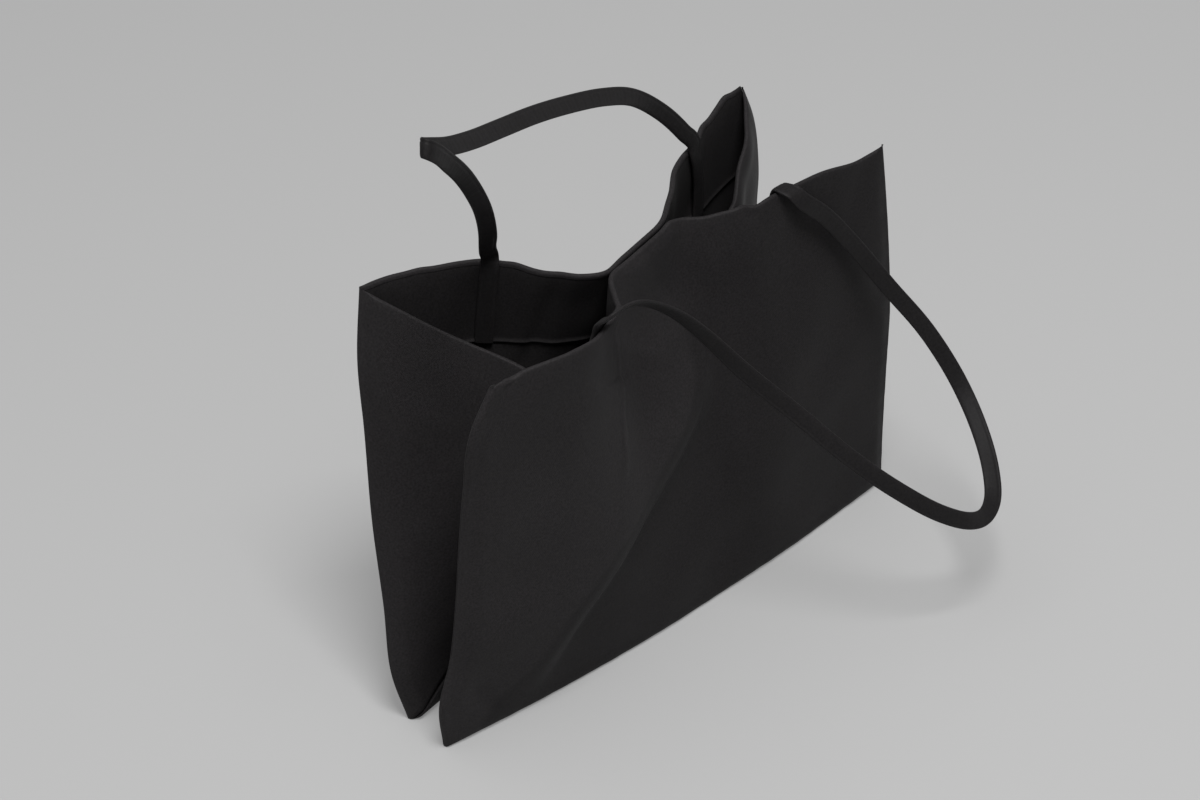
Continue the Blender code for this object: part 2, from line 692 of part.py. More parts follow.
def drill(target, frame, radius, low, high):
    """Cut a round hole along the snap's axis through a sheet."""
    cutter = turned(target + "_cutter", "wadding",
                    [(0, low), (radius, low), (radius, high), (0, high)])
    cutter.matrix_world = frame
    cutter.hide_render = True
    cutter.display_type = "WIRE"
    cut = bpy.data.objects[target].modifiers.new("hole", "BOOLEAN")
    cut.operation = "DIFFERENCE"
    cut.solver = "EXACT"
    cut.object = cutter


def snap_hardware():
    """The magnetic snap, closed: a stud on the front facing and a cup on the back one."""
    seat = wall_half + running_gap
    hidden = skin_middle - skin_thickness / 2 - running_gap
    hole = post_radius + running_gap
    frames = {"front": snap_frame(-1), "back": snap_frame(1)}
    for side in frames:
        drill(side + "_facing", frames[side], hole, wadding_thickness / 2, seat + cut_overrun)
        drill(side + "_wadding", frames[side], washer_radius + running_gap,
              -cut_overrun, skin_middle)
    r = snap_radius
    stud = turned("snap_stud", "snap_steel", [
        (0, hidden - washer_height), (post_radius, hidden - washer_height),
        (post_radius, seat), (r, seat), (r, seat + stud_thickness),
        (nub_radius, seat + stud_thickness), (nub_radius, seat + stud_thickness + nub_height),
        (0, seat + stud_thickness + nub_height)])
    stud.matrix_world = frames["front"]
    flange = cup_height - cup_face - magnet_height - 2 * running_gap
    inner = r - cup_wall - running_gap
    cup = turned("snap_cup", "snap_steel", [
        (r - cup_wall, seat), (r, seat), (r, seat + cup_height),
        (nub_radius + running_gap, seat + cup_height),
        (nub_radius + running_gap, seat + cup_height - cup_face),
        (r - cup_wall, seat + cup_height - cup_face)])
    rivet = turned("snap_rivet", "snap_steel", [
        (0, hidden - washer_height), (post_radius, hidden - washer_height),
        (post_radius, seat), (inner, seat), (inner, seat + flange), (0, seat + flange)])
    magnet = turned("snap_magnet", "magnet", [
        (nub_radius + running_gap, seat + flange + running_gap), (inner, seat + flange + running_gap),
        (inner, seat + flange + running_gap + magnet_height),
        (nub_radius + running_gap, seat + flange + running_gap + magnet_height)])
    for piece in (cup, rivet, magnet):
        piece.matrix_world = frames["back"]
    for side in frames:
        washer = turned(side + "_snap_washer", "snap_steel", [
            (hole, hidden - washer_height), (washer_radius, hidden - washer_height),
            (washer_radius, hidden), (hole, hidden)])
        washer.matrix_world = frames[side]


def stand_on_origin():
    """Shift everything so that the origin is below the middle of the whole box."""
    bpy.context.view_layer.update()
    things = [thing for thing in bpy.data.objects if thing.type == "MESH" and not thing.hide_render]
    corners = np.array([thing.matrix_world @ vertex.co
                        for thing in things for vertex in thing.data.vertices])
    low, high = corners.min(axis=0), corners.max(axis=0)
    shift = Vector((-(low[0] + high[0]) / 2, -(low[1] + high[1]) / 2, -low[2]))
    for thing in bpy.data.objects:
        thing.location = thing.location + shift


def build():
    clear_scene()
    panel_wall("front", front_surface, front_rim, 1, front_strap_rim_shares)
    panel_wall("back", back_surface, back_rim, -1, back_strap_rim_shares)
    gusset_half = half_strip_length(front_left_edge, left_crease, gusset_width_share)
    gusset_wall("left", left_strip, -1, gusset_half)
    gusset_wall("right", right_strip, 1, gusset_half)
    base_wall(1, half_strip_length(front_foot, base_crease, base_width_share))
    strap("front", front_surface, front_rim, 1, front_strap_rim_shares, front_strap_stubs,
          front_strap_lean, front_loop_shares)
    strap("back", back_surface, back_rim, -1, back_strap_rim_shares, back_strap_stubs,
          back_strap_lean, back_loop_shares)
    snap_hardware()
    stand_on_origin()


build()
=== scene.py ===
# %% [markdown]
# A satin tote bag stands on a pale floor. It is two flat padded panels, joined round their
# sides and bottom by one padded strip that folds inwards. Two narrow straps lie as they fell.
# Everything soft is made here as surfaces worked out with numpy; the small metal snap keeps
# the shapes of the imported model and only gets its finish.

# %% Load the fixed frame
import json
import math
from types import SimpleNamespace

import bpy
import numpy as np
from mathutils import Matrix, Vector


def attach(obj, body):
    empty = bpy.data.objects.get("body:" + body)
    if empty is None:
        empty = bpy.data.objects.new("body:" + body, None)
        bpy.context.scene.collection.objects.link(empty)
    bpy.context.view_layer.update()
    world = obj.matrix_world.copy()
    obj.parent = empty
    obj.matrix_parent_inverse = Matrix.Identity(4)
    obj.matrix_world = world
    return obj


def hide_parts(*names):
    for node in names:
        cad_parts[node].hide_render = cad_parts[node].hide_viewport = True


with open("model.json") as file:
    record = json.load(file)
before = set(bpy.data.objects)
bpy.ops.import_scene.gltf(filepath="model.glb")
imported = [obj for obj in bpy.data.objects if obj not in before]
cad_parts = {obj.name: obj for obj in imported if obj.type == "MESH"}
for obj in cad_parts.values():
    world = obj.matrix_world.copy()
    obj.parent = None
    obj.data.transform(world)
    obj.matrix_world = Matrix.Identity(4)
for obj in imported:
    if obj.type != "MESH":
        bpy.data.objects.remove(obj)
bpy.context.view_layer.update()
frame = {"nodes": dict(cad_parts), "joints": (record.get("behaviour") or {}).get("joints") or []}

# %% [markdown]
# The bag's outline is a handful of places on its panels. Each place is a share of three
# driving sizes: half the width, half the depth and the height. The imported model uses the
# same sizes, so the cloth made here lies where its solids are.

# %% Driving sizes
half_width = 0.175
half_depth = 0.080
bag_height = 0.250

wall_half = 0.0018
seam_half = 0.00095
cloth_gap = 0.0003
seam_width = 0.005
facing_height = 0.050
panel_belly = 0.004
seam_reach = {"front": (0.013, 0.010), "back": (0.010, 0.015)}
strip_reach = {"left": (0.013, 0.010), "right": (0.010, 0.015), "base": (0.005, 0.005)}

rim_fade_share = 1.35
pinch_offset_share = 0.004
pinch_slope_share = 0.21
pinch_height_share = 0.992

snap_half_gap = wall_half + 0.00255
snap_flat_half_width = 0.010
snap_flat_fade = 0.034
snap_flat_start = 0.008
snap_flat_end = 0.027
snap_flat_release = 0.040
snap_rim_share = 0.5

strap_width = 0.010
strap_thickness = 0.0025
strap_middle = wall_half + cloth_gap + strap_thickness / 2
pivot_height = strap_thickness / 2 + cloth_gap
front_strap_rim_shares = (0.226, 0.774)
back_strap_rim_shares = (0.219, 0.785)
front_strap_stubs = (0.004, 0.0)
back_strap_stubs = (0.0, 0.0)
front_strap_lean = math.radians(75)
back_strap_lean = 0.0

# %% Outline places, as shares of half width, half depth and height
corner_shares = {
    "front_left_top": (-0.853, -0.475, 0.992), "front_right_top": (0.887, -0.400, 1.012),
    "front_left_foot": (-0.973, -0.200, 0.0), "front_right_foot": (1.007, -0.350, 0.0),
    "back_left_top": (-0.786, 0.962, 0.990), "back_right_top": (0.854, 0.900, 0.988),
    "back_left_foot": (-0.966, 0.200, 0.0), "back_right_foot": (0.989, 0.200, 0.0)}
rim_shares = {
    "front_left": ((-0.737, -0.494, 0.996), (-0.566, -0.550, 1.0), (-0.451, -0.556, 1.0),
                   (-0.394, -0.519, 1.0), (-0.309, -0.400, 0.996)),
    "front_right": ((0.143, 0.012, 0.994), (0.217, -0.062, 0.996), (0.366, -0.237, 1.0),
                    (0.474, -0.269, 1.0), (0.640, -0.312, 1.0), (0.789, -0.370, 1.0)),
    "back_left": ((-0.674, 0.925, 0.988), (-0.560, 0.812, 0.988), (-0.480, 0.700, 0.992),
                  (-0.417, 0.594, 0.992), (-0.383, 0.475, 0.992), (-0.331, 0.225, 0.992),
                  (-0.274, 0.030, 0.992)),
    "back_right": ((0.149, 0.160, 0.992), (0.257, 0.312, 0.992), (0.349, 0.475, 0.992),
                   (0.417, 0.550, 0.992), (0.509, 0.612, 0.992), (0.611, 0.725, 0.990),
                   (0.760, 0.870, 0.988))}
pinch_width_shares = {"front": (-0.189, -0.046, 0.080), "back": (-0.200, -0.080, 0.046)}
edge_shares = {
    "front_left": ((-1.0, -0.237, 0.128), (-0.965, -0.269, 0.248), (-0.949, -0.312, 0.416),
                   (-0.949, -0.362, 0.584), (-0.943, -0.406, 0.740), (-0.926, -0.450, 0.892)),
    "front_right": ((0.997, -0.356, 0.128), (0.989, -0.367, 0.348), (0.983, -0.377, 0.540),
                    (0.954, -0.385, 0.716), (0.909, -0.395, 0.920)),
    "back_left": ((-0.994, 0.287, 0.128), (-0.963, 0.412, 0.280), (-0.931, 0.575, 0.488),
                  (-0.886, 0.725, 0.688), (-0.851, 0.850, 0.840)),
    "back_right": ((0.981, 0.300, 0.160), (0.925, 0.490, 0.360), (0.860, 0.665, 0.560),
                   (0.852, 0.752, 0.700), (0.884, 0.800, 0.800), (0.886, 0.862, 0.908))}
foot_shares = {
    "front": ((-0.566, -0.312, 0.0), (-0.103, -0.387, 0.0), (0.223, -0.400, 0.0),
              (0.520, -0.400, 0.0)),
    "back": ((-0.571, 0.325, 0.0), (0.0, 0.400, 0.0), (0.571, 0.325, 0.0))}
crease_shares = {
    "left": ((-0.640, 0.0, 0.220), (-0.583, -0.012, 0.480), (-0.505, -0.054, 0.836)),
    "right": ((0.651, -0.062, 0.220), (0.583, 0.050, 0.520), (0.480, 0.226, 0.872)),
    "base": ((-0.640, 0.0, 0.220), (0.0, 0.0, 0.232), (0.651, -0.062, 0.220))}

# %% [markdown]
# Listed points need a smooth line through them. A Hermite curve does it: each stretch
# is a cubic that leaves and reaches its two points along the average of the neighbouring
# chords. It is worked out for a whole array of shares at once.

# %% Smooth lines
def place(shares):
    """Shares of the three driving sizes, turned into points in metres."""
    return np.array(shares, float) * (half_width, half_depth, bag_height)


def smooth_step(value):
    """Rise from 0 to 1 as 3 x squared minus 2 x cubed, held level outside 0..1."""
    value = np.clip(value, 0.0, 1.0)
    return value * value * (3 - 2 * value)


def unit(vectors):
    """Vectors divided by their own lengths."""
    return vectors / np.linalg.norm(vectors, axis=-1, keepdims=True)


def curve_through(points):
    """Return a function of shares of the length that runs through the points.

    Between two points it is start and end, weighted by cubics of the share, plus the
    two slopes, weighted by cubics that vanish at both ends.
    """
    points = np.array(points, float)
    steps = np.linalg.norm(np.diff(points[:, :3], axis=0), axis=1)
    knots = np.concatenate([[0.0], np.cumsum(steps)])
    chords = np.diff(points, axis=0) / steps[:, None]
    weights = (steps[1:] / (steps[:-1] + steps[1:]))[:, None]
    inner = weights * chords[:-1] + (1 - weights) * chords[1:]
    slopes = np.vstack([chords[:1], inner, chords[-1:]])

    def at(share):
        length = np.clip(np.asarray(share, float), 0.0, 1.0) * knots[-1]
        k = np.clip(np.searchsorted(knots, length, side="right") - 1, 0, len(steps) - 1)
        h = steps[k][..., None]
        t = ((length - knots[k]) / steps[k])[..., None]
        ends = (2 * t**3 - 3 * t**2 + 1) * points[k] + (3 * t**2 - 2 * t**3) * points[k + 1]
        bends = (t**3 - 2 * t**2 + t) * slopes[k] + (t**3 - t**2) * slopes[k + 1]
        return ends + h * bends

    at.length = knots[-1]
    return at


# %% [markdown]
# The mouth is pinched shut in the middle by the snap, so both rims run to one slanted plan
# line there and part again on each side, like a bow tie seen from above.

# %% Rims, edges, feet and folds
def pinch_line(x):
    """The plan line on which both rims meet: y is an offset plus a slope times x."""
    return pinch_offset_share * half_depth + pinch_slope_share * x


def rim_curve(name, side):
    """A rim through its left places, three places beside the pinch line and its right places."""
    x = np.array(pinch_width_shares[name]) * half_width
    y = pinch_line(x) + side * (wall_half + cloth_gap / 2)
    middle = np.stack([x, y, np.full(3, pinch_height_share * bag_height)], axis=1)
    left = place((corner_shares[name + "_left_top"],) + rim_shares[name + "_left"])
    right = place(rim_shares[name + "_right"] + (corner_shares[name + "_right_top"],))
    return curve_through(np.vstack([left, middle, right]))


def edge_curve(name):
    return curve_through(place((corner_shares[name + "_foot"],) + edge_shares[name]
                               + (corner_shares[name + "_top"],)))


def foot_curve(name):
    return curve_through(place((corner_shares[name + "_left_foot"],) + foot_shares[name]
                               + (corner_shares[name + "_right_foot"],)))


rims = {"front": rim_curve("front", -1), "back": rim_curve("back", 1)}
edges = {name: edge_curve(name) for name in edge_shares}
feet = {name: foot_curve(name) for name in foot_shares}
creases = {name: curve_through(place(rows)) for name, rows in crease_shares.items()}
print("rims", [round(rims[name].length, 3) for name in rims])

# %% [markdown]
# A padded panel is one surface with two skins on it. The surface is a patch stretched
# between its four edge lines. The rim's bow-tie shape fades out downwards, the padding gives
# a slight belly, and round the snap the panel lies flat against its twin.

# %% The panels' middle surfaces
def panel_surface(name, side):
    """Rim and foot blended by v to a power, plus the two edges blended by u, less the corners.

    Added to it: a belly of 4 u (1 - u) sin(pi v), and a pull towards the pinch line that
    fades with the distance from the snap.
    """
    foot, rim = feet[name], rims[name]
    left, right = edges[name + "_left"], edges[name + "_right"]
    corners = [foot(0.0), foot(1.0), rim(0.0), rim(1.0)]

    def at(u, v):
        g, a = (v**rim_fade_share)[..., None], u[..., None]
        point = ((1 - g) * foot(u) + g * rim(u) + (1 - a) * left(v) + a * right(v)
                 - (1 - a) * (1 - g) * corners[0] - a * (1 - g) * corners[1]
                 - (1 - a) * g * corners[2] - a * g * corners[3])
        y = point[..., 1] + side * panel_belly * 4 * u * (1 - u) * np.sin(np.pi * v)
        depth = (1 - v) * bag_height
        sideways = np.abs(u - snap_rim_share) * rim.length
        spread = 1 - smooth_step((sideways - snap_flat_half_width) / snap_flat_fade)
        hold = 1 - smooth_step((depth - snap_flat_end) / snap_flat_release)
        rim_gap = wall_half + cloth_gap / 2
        gap = rim_gap + (snap_half_gap - rim_gap) * smooth_step(depth / snap_flat_start)
        target = pinch_line(point[..., 0]) + side * gap * math.hypot(1, pinch_slope_share)
        point[..., 1] = y + spread * hold * (target - y)
        return point

    return at


plain = {"front": panel_surface("front", -1), "back": panel_surface("back", 1)}


def normals(surface, u, v, sign):
    """Unit normals from the cross product of small steps along u and v, turned by sign."""
    step = 0.002
    along_u = surface(np.minimum(u + step, 1), v) - surface(np.maximum(u - step, 0), v)
    along_v = surface(u, np.minimum(v + step, 1)) - surface(u, np.maximum(v - step, 0))
    return sign * unit(np.cross(along_u, along_v))


# %% [markdown]
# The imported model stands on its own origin, below the middle of its box. The strap's hinge
# is a place that both know, so the difference between the two is the shift to the frame.

# %% Shift into the frame
joint_place = {joint["name"]: np.array(joint["pos_m"]) for joint in frame["joints"]}
one = np.array(1.0)
root_share = np.array(front_strap_rim_shares[0])
front_root = (plain["front"](root_share, one)
              - normals(plain["front"], root_share, one, 1) * strap_middle)
front_root[2] = plain["front"](root_share, one)[2] + front_strap_stubs[0] + pivot_height
shift = joint_place["front_strap_swing"] - front_root
shift[2] = 0.0
print("shift", np.round(shift, 6))

# %% [markdown]
# Satin has a memory: where the panel is pushed about it keeps soft ridges and dents. Each is
# a bump along a listed line or round a spot on the panel, and fine uneven ripples lie
# over all of it. They move the whole wall, so both skins follow.

# %% Folds and ripples
front_folds = (
    # line on the panel (u, v), height, half width on its left and right, fade at its ends
    (((0.302, 1.0), (0.360, 0.91), (0.390, 0.84), (0.368, 0.78), (0.342, 0.72), (0.331, 0.64),
      (0.322, 0.54)), 0.0017, 0.0038, 0.0024, 0.16),
    (((0.565, 0.74), (0.540, 0.65), (0.500, 0.58), (0.440, 0.51), (0.380, 0.45), (0.290, 0.37),
      (0.210, 0.27), (0.160, 0.15), (0.115, 0.06)), 0.0084, 0.060, 0.014, 0.24),
    (((0.235, 1.0), (0.262, 0.90), (0.275, 0.80)), -0.0012, 0.007, 0.007, 0.4),
    (((0.025, 0.992), (0.050, 0.975)), -0.0012, 0.0035, 0.0035, 0.3),
    (((0.567, 1.0), (0.556, 0.93), (0.550, 0.84)), 0.0016, 0.007, 0.004, 0.6),
    (((0.596, 1.0), (0.590, 0.91)), -0.0010, 0.006, 0.006, 0.6),
    (((0.700, 1.0), (0.712, 0.955)), -0.0014, 0.0035, 0.0035, 0.6),
    (((0.962, 1.0), (0.930, 0.90), (0.905, 0.78)), -0.0016, 0.009, 0.012, 0.5),
    (((0.70, 0.62), (0.76, 0.36), (0.86, 0.16)), 0.0018, 0.030, 0.022, 0.4),
    (((0.09, 0.86), (0.08, 0.62), (0.045, 0.42)), 0.0016, 0.012, 0.016, 0.4),
    (((0.03, 0.20), (0.07, 0.13), (0.10, 0.03)), -0.0016, 0.006, 0.007, 0.4))
back_folds = (
    (((0.34, 1.0), (0.33, 0.85), (0.30, 0.66)), 0.0020, 0.006, 0.006, 0.3),
    (((0.62, 0.98), (0.56, 0.74), (0.47, 0.50), (0.42, 0.28)), 0.0036, 0.022, 0.012, 0.3),
    (((0.24, 1.0), (0.235, 0.90), (0.25, 0.80)), -0.0012, 0.006, 0.006, 0.4),
    (((0.86, 1.0), (0.80, 0.88), (0.72, 0.74)), 0.0016, 0.009, 0.007, 0.3),
    (((0.18, 0.70), (0.27, 0.45), (0.38, 0.20)), 0.0024, 0.024, 0.016, 0.4))
rim_lifts = {
    # share along the rim, reach, lift: small points and dips where the rim was pinched
    "front": ((0.012, 0.005, 0.0010), (0.040, 0.005, -0.0012), (0.565, 0.005, 0.0017),
              (0.625, 0.012, -0.0016), (0.693, 0.004, 0.0008), (0.722, 0.005, -0.0012),
              (0.775, 0.009, 0.0008), (0.8625, 0.018, 0.0013), (0.962, 0.012, -0.0018)),
    "back": ((0.105, 0.006, 0.0008), (0.255, 0.008, 0.0009), (0.300, 0.012, -0.0006),
             (0.952, 0.006, 0.0018), (0.885, 0.012, -0.0008))}
rim_fade = 0.045
fold_turn = 0.35
panel_ripple = 0.0007
side_pucker, foot_pucker = 0.00035, 0.00030
pucker_start, pucker_reach = 0.004, 0.006
pucker_periods = (0.0117, 0.0171, 0.0243)
calm_depth, calm_radius, calm_fade = 0.02, 0.016, 0.03
seam_calm = 0.012


def bell(value, middle, spread):
    """exp(-((value - middle) / spread) squared)."""
    return np.exp(-((value - middle) / spread)**2)


def bump_along(u, v, width, line, height, left, right, fade):
    """Height times exp(-(distance / half width) squared) from a line, faded at its ends.

    The half width changes smoothly from one side of the line to the other.
    """
    track = curve_through(np.array([(a * width, b * bag_height, 0.0) for a, b in line]))
    shares = np.linspace(0, 1, 48)
    samples = track(shares)[:, :2]
    here = np.stack([u * width, v * bag_height], axis=-1)
    nearest = np.linalg.norm(here[..., None, :] - samples, axis=-1).argmin(axis=-1)
    heading = np.gradient(samples, axis=0)[nearest]
    offset = here - samples[nearest]
    step = np.linalg.norm(heading, axis=-1)
    distance = (heading[..., 0] * offset[..., 1] - heading[..., 1] * offset[..., 0]) / step
    lean = np.sin(np.pi / 2 * np.clip(distance / (fold_turn * (left + right)), -1, 1))
    spread = (left + right) / 2 + (right - left) / 2 * lean
    ahead = np.sum(offset * heading, axis=-1) / step**2 * shares[1]
    along = np.clip(shares[nearest] + ahead, 0, 1)
    ends = smooth_step(along / fade) if line[0][1] < 1 else 1.0
    ends = ends * smooth_step((1 - along) / fade)
    return height * np.exp(-(distance / spread)**2) * ends


def ripples(u, v, width, seed, height):
    """A sum of twelve sine waves of seeded directions, lengths and phases."""
    draw = np.random.default_rng(seed)
    total = np.zeros(np.broadcast(u, v).shape)
    for _ in range(12):
        angle, phase = draw.uniform(0, np.pi), draw.uniform(0, 2 * np.pi)
        length = draw.uniform(0.035, 0.11)
        run = u * width * np.cos(angle) + v * bag_height * np.sin(angle)
        total += np.sin(2 * np.pi * run / length + phase) * length
    return height * total / 0.25


def puckers(along, away, seed, height):
    """Short waves along a seam that die out within about a centimetre of it."""
    draw = np.random.default_rng(seed)
    waves = sum(np.sin(2 * np.pi * along / period + draw.uniform(0, 2 * np.pi))
                for period in pucker_periods)
    return height * waves / 3 * np.exp(-away / pucker_reach) * smooth_step(away / pucker_start)


def creased_panel(name, side, folds, seed):
    """The panel's middle surface plus its folds, ripples and puckers, moved outwards."""
    base, width = plain[name], rims[name].length

    def at(u, v):
        u, v = np.broadcast_arrays(np.asarray(u, float), np.asarray(v, float))
        point = base(u, v)
        move = ripples(u, v, width, seed, panel_ripple)
        for line, height, left, right, fade in folds:
            move = move + bump_along(u, v, width, line, height, left, right, fade)
        sideways = np.abs(u - snap_rim_share) * width
        depth = (1 - v) * bag_height
        from_snap = np.hypot(sideways, np.maximum(depth - calm_depth, 0))
        free = smooth_step((from_snap - calm_radius) / calm_fade)
        edge = np.minimum(u, 1 - u) * width
        low = v * bag_height
        move = move * free * smooth_step(edge / seam_calm) * smooth_step(low / seam_calm)
        move = move + puckers(v * bag_height, edge, seed + 1, side_pucker)
        move = move + puckers(u * width, low, seed + 2, foot_pucker)
        point[..., 1] += side * move
        high = 1 - smooth_step(depth / rim_fade)
        for share, reach, lift in rim_lifts[name]:
            point[..., 2] += lift * bell(u * width, share * width, reach) * high
        return point

    return at


surfaces = {"front": creased_panel("front", -1, front_folds, 11),
            "back": creased_panel("back", 1, back_folds, 23)}

# %% [markdown]
# One padded strip runs down the left side, along the base and up the right side, folded
# inwards along its middle. Across it, s goes from the front panel to the back one; near each
# sewn edge it stands off the panel by the thickness of both walls.

# %% The folded strip's middle surfaces
crease_share = 0.07
crease_radius = 0.004
mitre_gap = 0.0003
mitre_crease_gap = 0.0006
stand_start, stand_fade = 0.010, 0.050


def inward(name, u, v):
    """The panel's level normal towards the inside of the bag."""
    normal = normals(plain[name], u, v, -1 if name == "front" else 1)
    normal[..., 2] = 0.0
    return unit(normal)


def strip_surface(front_edge, crease, back_edge, share_at, mitres, reaches, relief):
    """The crease line plus the ways to both sewn edges, weighted by a rounded fold.

    With q = 1 - 2 s the weights are (sqrt(q squared + c squared) plus or minus q) / 2, so
    the fold has a small radius c, and both weights sum to nearly the distance from it.
    """
    seam_stand = 2 * seam_half + cloth_gap
    wall_stand = 2 * wall_half + cloth_gap

    def stand_off(distance, reach):
        rise = seam_stand + (wall_stand - seam_stand) * smooth_step(distance / reach)
        return rise * (1 - smooth_step((distance - stand_start) / stand_fade))

    def at(s, t):
        s, t = np.broadcast_arrays(np.asarray(s, float), np.asarray(t, float))
        q = 1 - 2 * s
        cut = mitre_gap + mitre_crease_gap * (1 - q**2)
        first, last = mitres[0] * cut, 1 - mitres[1] * cut
        along = first + (last - first) * t
        front, middle, back = front_edge(along), crease(along), back_edge(along)
        bent = np.sqrt(q**2 + crease_share**2)
        peak = (1 + math.sqrt(1 + crease_share**2)) / 2
        point = (middle + (front - middle) * ((bent + q) / 2 / peak)[..., None]
                 + (back - middle) * ((bent - q) / 2 / peak)[..., None])
        across = unit(front - back)
        point = point + across * (crease_radius * q / bent * (1 - q**2))[..., None]
        near_front = 2 * s * np.linalg.norm(front - middle, axis=-1)
        near_back = 2 * (1 - s) * np.linalg.norm(back - middle, axis=-1)
        point = point + inward("front", *share_at(along)) * (
            np.where(s < 0.5, stand_off(near_front, reaches[0]), 0.0))[..., None]
        point = point + inward("back", *share_at(along)) * (
            np.where(s < 0.5, 0.0, stand_off(near_back, reaches[1])))[..., None]
        return point + relief(s, along, across)

    return at


def gusset_relief(seed, height, sags, bulges):
    """Uneven ripples, a rim that hangs lower at given shares across, and bulges.

    A sag is a bell across times a fade with the depth below the rim; a bulge is a bell
    across times one along. The sewn edges stay where they are.
    """
    def at(s, t, across):
        free = smooth_step(s / 0.12) * smooth_step((1 - s) / 0.12)
        side = np.where(s < 0.5, 1.0, -1.0) * smooth_step(np.abs(s - 0.5) / 0.08)
        move = ripples(s, t, 0.17, seed, height) * free
        for middle, spread, spot, reach, amount in bulges:
            move = move + amount * bell(s, middle, spread) * bell(t, spot, reach) * smooth_step(
                np.minimum(s, 1 - s) / 0.05)
        point = across * (move * side)[..., None]
        depth = (1 - t) * bag_height
        for middle, spread, fade, amount in sags:
            point[..., 2] -= amount * bell(s, middle, spread) * (1 - smooth_step(depth / fade))
        return point
    return at


gusset_sags = {"left": ((0.74, 0.17, 0.07, 0.0030), (0.14, 0.08, 0.05, 0.0020)),
               "right": ((0.14, 0.13, 0.08, 0.0075), (0.50, 0.14, 0.07, 0.0090),
                         (0.0, 0.07, 0.035, 0.0032)),
               "base": ()}
gusset_bulges = {"left": (), "base": (),
                 "right": ((0.78, 0.13, 0.99, 0.08, -0.0090), (0.60, 0.09, 0.98, 0.09, -0.0055))}
strip_ripples = {"left": (31, 0.0009), "right": (37, 0.0009), "base": (41, 0.0006)}
strip_mitres = {"left": (1, 0), "right": (1, 0), "base": (1, 1)}
strip_edges = {"left": (edges["front_left"], edges["back_left"]),
               "right": (edges["front_right"], edges["back_right"]),
               "base": (feet["front"], feet["back"])}
seam_places = {
    "left": lambda t: (np.zeros_like(t), t),
    "right": lambda t: (np.ones_like(t), t),
    "base": lambda t: (t, np.zeros_like(t))}

strips = {}
for name, (front_edge, back_edge) in strip_edges.items():
    crease = creases[name]
    relief = gusset_relief(*strip_ripples[name], gusset_sags[name], gusset_bulges[name])
    strips[name] = strip_surface(front_edge, crease, back_edge, seam_places[name],
                                 [cut / crease.length for cut in strip_mitres[name]],
                                 strip_reach[name], relief)

# %% [markdown]
# Every wall becomes closed shells: a grid of points on each face, offset along the normal,
# and a band of faces round the border. A float called edge marks how near a point is to a
# seam or a rim; the finishes make cloth lighter there, partly as rubbed wear and partly as a
# painted highlight. A UV map in metres lets the weave follow the cloth.

# %% Closed shells from two offset grids
edge_radius = 0.00205
rim_radius = 0.0015
cover_turn = 0.00185
tuck_turn = 0.00025
satin_wrap = 0.0030
core_half = 0.00015
puff = 0.0003
wrap_fade = 0.0003
skin_clear = 0.0001


def turned(radius, steps, *further):
    """Distances that step evenly round a quarter circle, then some further ones."""
    angle = np.linspace(0, np.pi / 2, steps + 1)
    return np.concatenate([radius * (1 - np.cos(angle)), further])


def spaced(length, low, high, steps):
    """Shares of a length: given distances from its two ends, and even steps between them."""
    middle = np.linspace(low[-1], length - high[-1], steps + 2)[1:-1]
    return np.concatenate([low, middle, length - high[::-1]]) / length


def add_mesh(name, points, faces, uv, edge):
    """A mesh object at the origin from arrays of points, quads, UVs and edge marks."""
    mesh = bpy.data.meshes.new(name)
    mesh.from_pydata((points + shift).tolist(), [], faces.tolist())
    corner = np.empty(len(mesh.loops), np.int32)
    mesh.loops.foreach_get("vertex_index", corner)
    layer = mesh.uv_layers.new(name="cloth")
    layer.data.foreach_set("uv", uv[corner].astype(np.float32).ravel())
    mark = mesh.attributes.new("edge", "FLOAT", "POINT")
    mark.data.foreach_set("value", edge.astype(np.float32).ravel())
    mesh.shade_smooth()
    thing = bpy.data.objects.new(name, mesh)
    bpy.context.scene.collection.objects.link(thing)
    return thing


def shell(name, surface, sign, us, vs, outer, inner, scale, edge_at, level=None,
          turn_normal=None):
    """The surface plus its normal times an outer and an inner offset, closed round the border."""
    u, v = np.meshgrid(us, vs, indexing="ij")
    base, normal = surface(u, v), normals(surface, u, v, sign)
    if turn_normal is not None:
        normal = turn_normal(u, v, normal)
    faces_of = [base + normal * offset(u, v)[..., None] for offset in (outer, inner)]
    if level is not None:
        for points in faces_of:
            points[..., 2] = level(u, v, points[..., 2])
    n, m = u.shape
    index = np.arange(n * m).reshape(n, m)
    quads = np.stack([index[:-1, :-1], index[1:, :-1], index[1:, 1:], index[:-1, 1:]], -1)
    quads = quads.reshape(-1, 4)
    ring = np.concatenate([index[:-1, 0], index[-1, :-1], index[:0:-1, -1], index[0, :0:-1]])
    following = np.roll(ring, -1)
    band = np.stack([ring, ring + n * m, following + n * m, following], -1)
    faces = np.concatenate([quads, quads[:, ::-1] + n * m, band])
    if sign < 0:
        faces = faces[:, ::-1]
    uv = np.stack([u * scale[0], v * scale[1]], -1).reshape(-1, 2)
    edge = edge_at(u, v).ravel()
    return add_mesh(name, np.concatenate([p.reshape(-1, 3) for p in faces_of]), faces,
                    np.tile(uv, (2, 1)), np.tile(edge, 2))


def rounded(distance, radius):
    """A quarter circle: 0 at distance 0, 1 from the radius on."""
    return np.sqrt(1 - (1 - np.clip(distance / radius, 0, 1))**2)


rim_thinning = 0.36
rim_thinning_reach = 0.007


def half_wall(full, rim_distance, extra):
    """Half the wall: thin at a seam, full where the share is 1, and thinner near the rim."""
    half = seam_half + (wall_half + extra - seam_half) * full
    return half * (1 - rim_thinning * np.exp(-rim_distance / rim_thinning_reach))


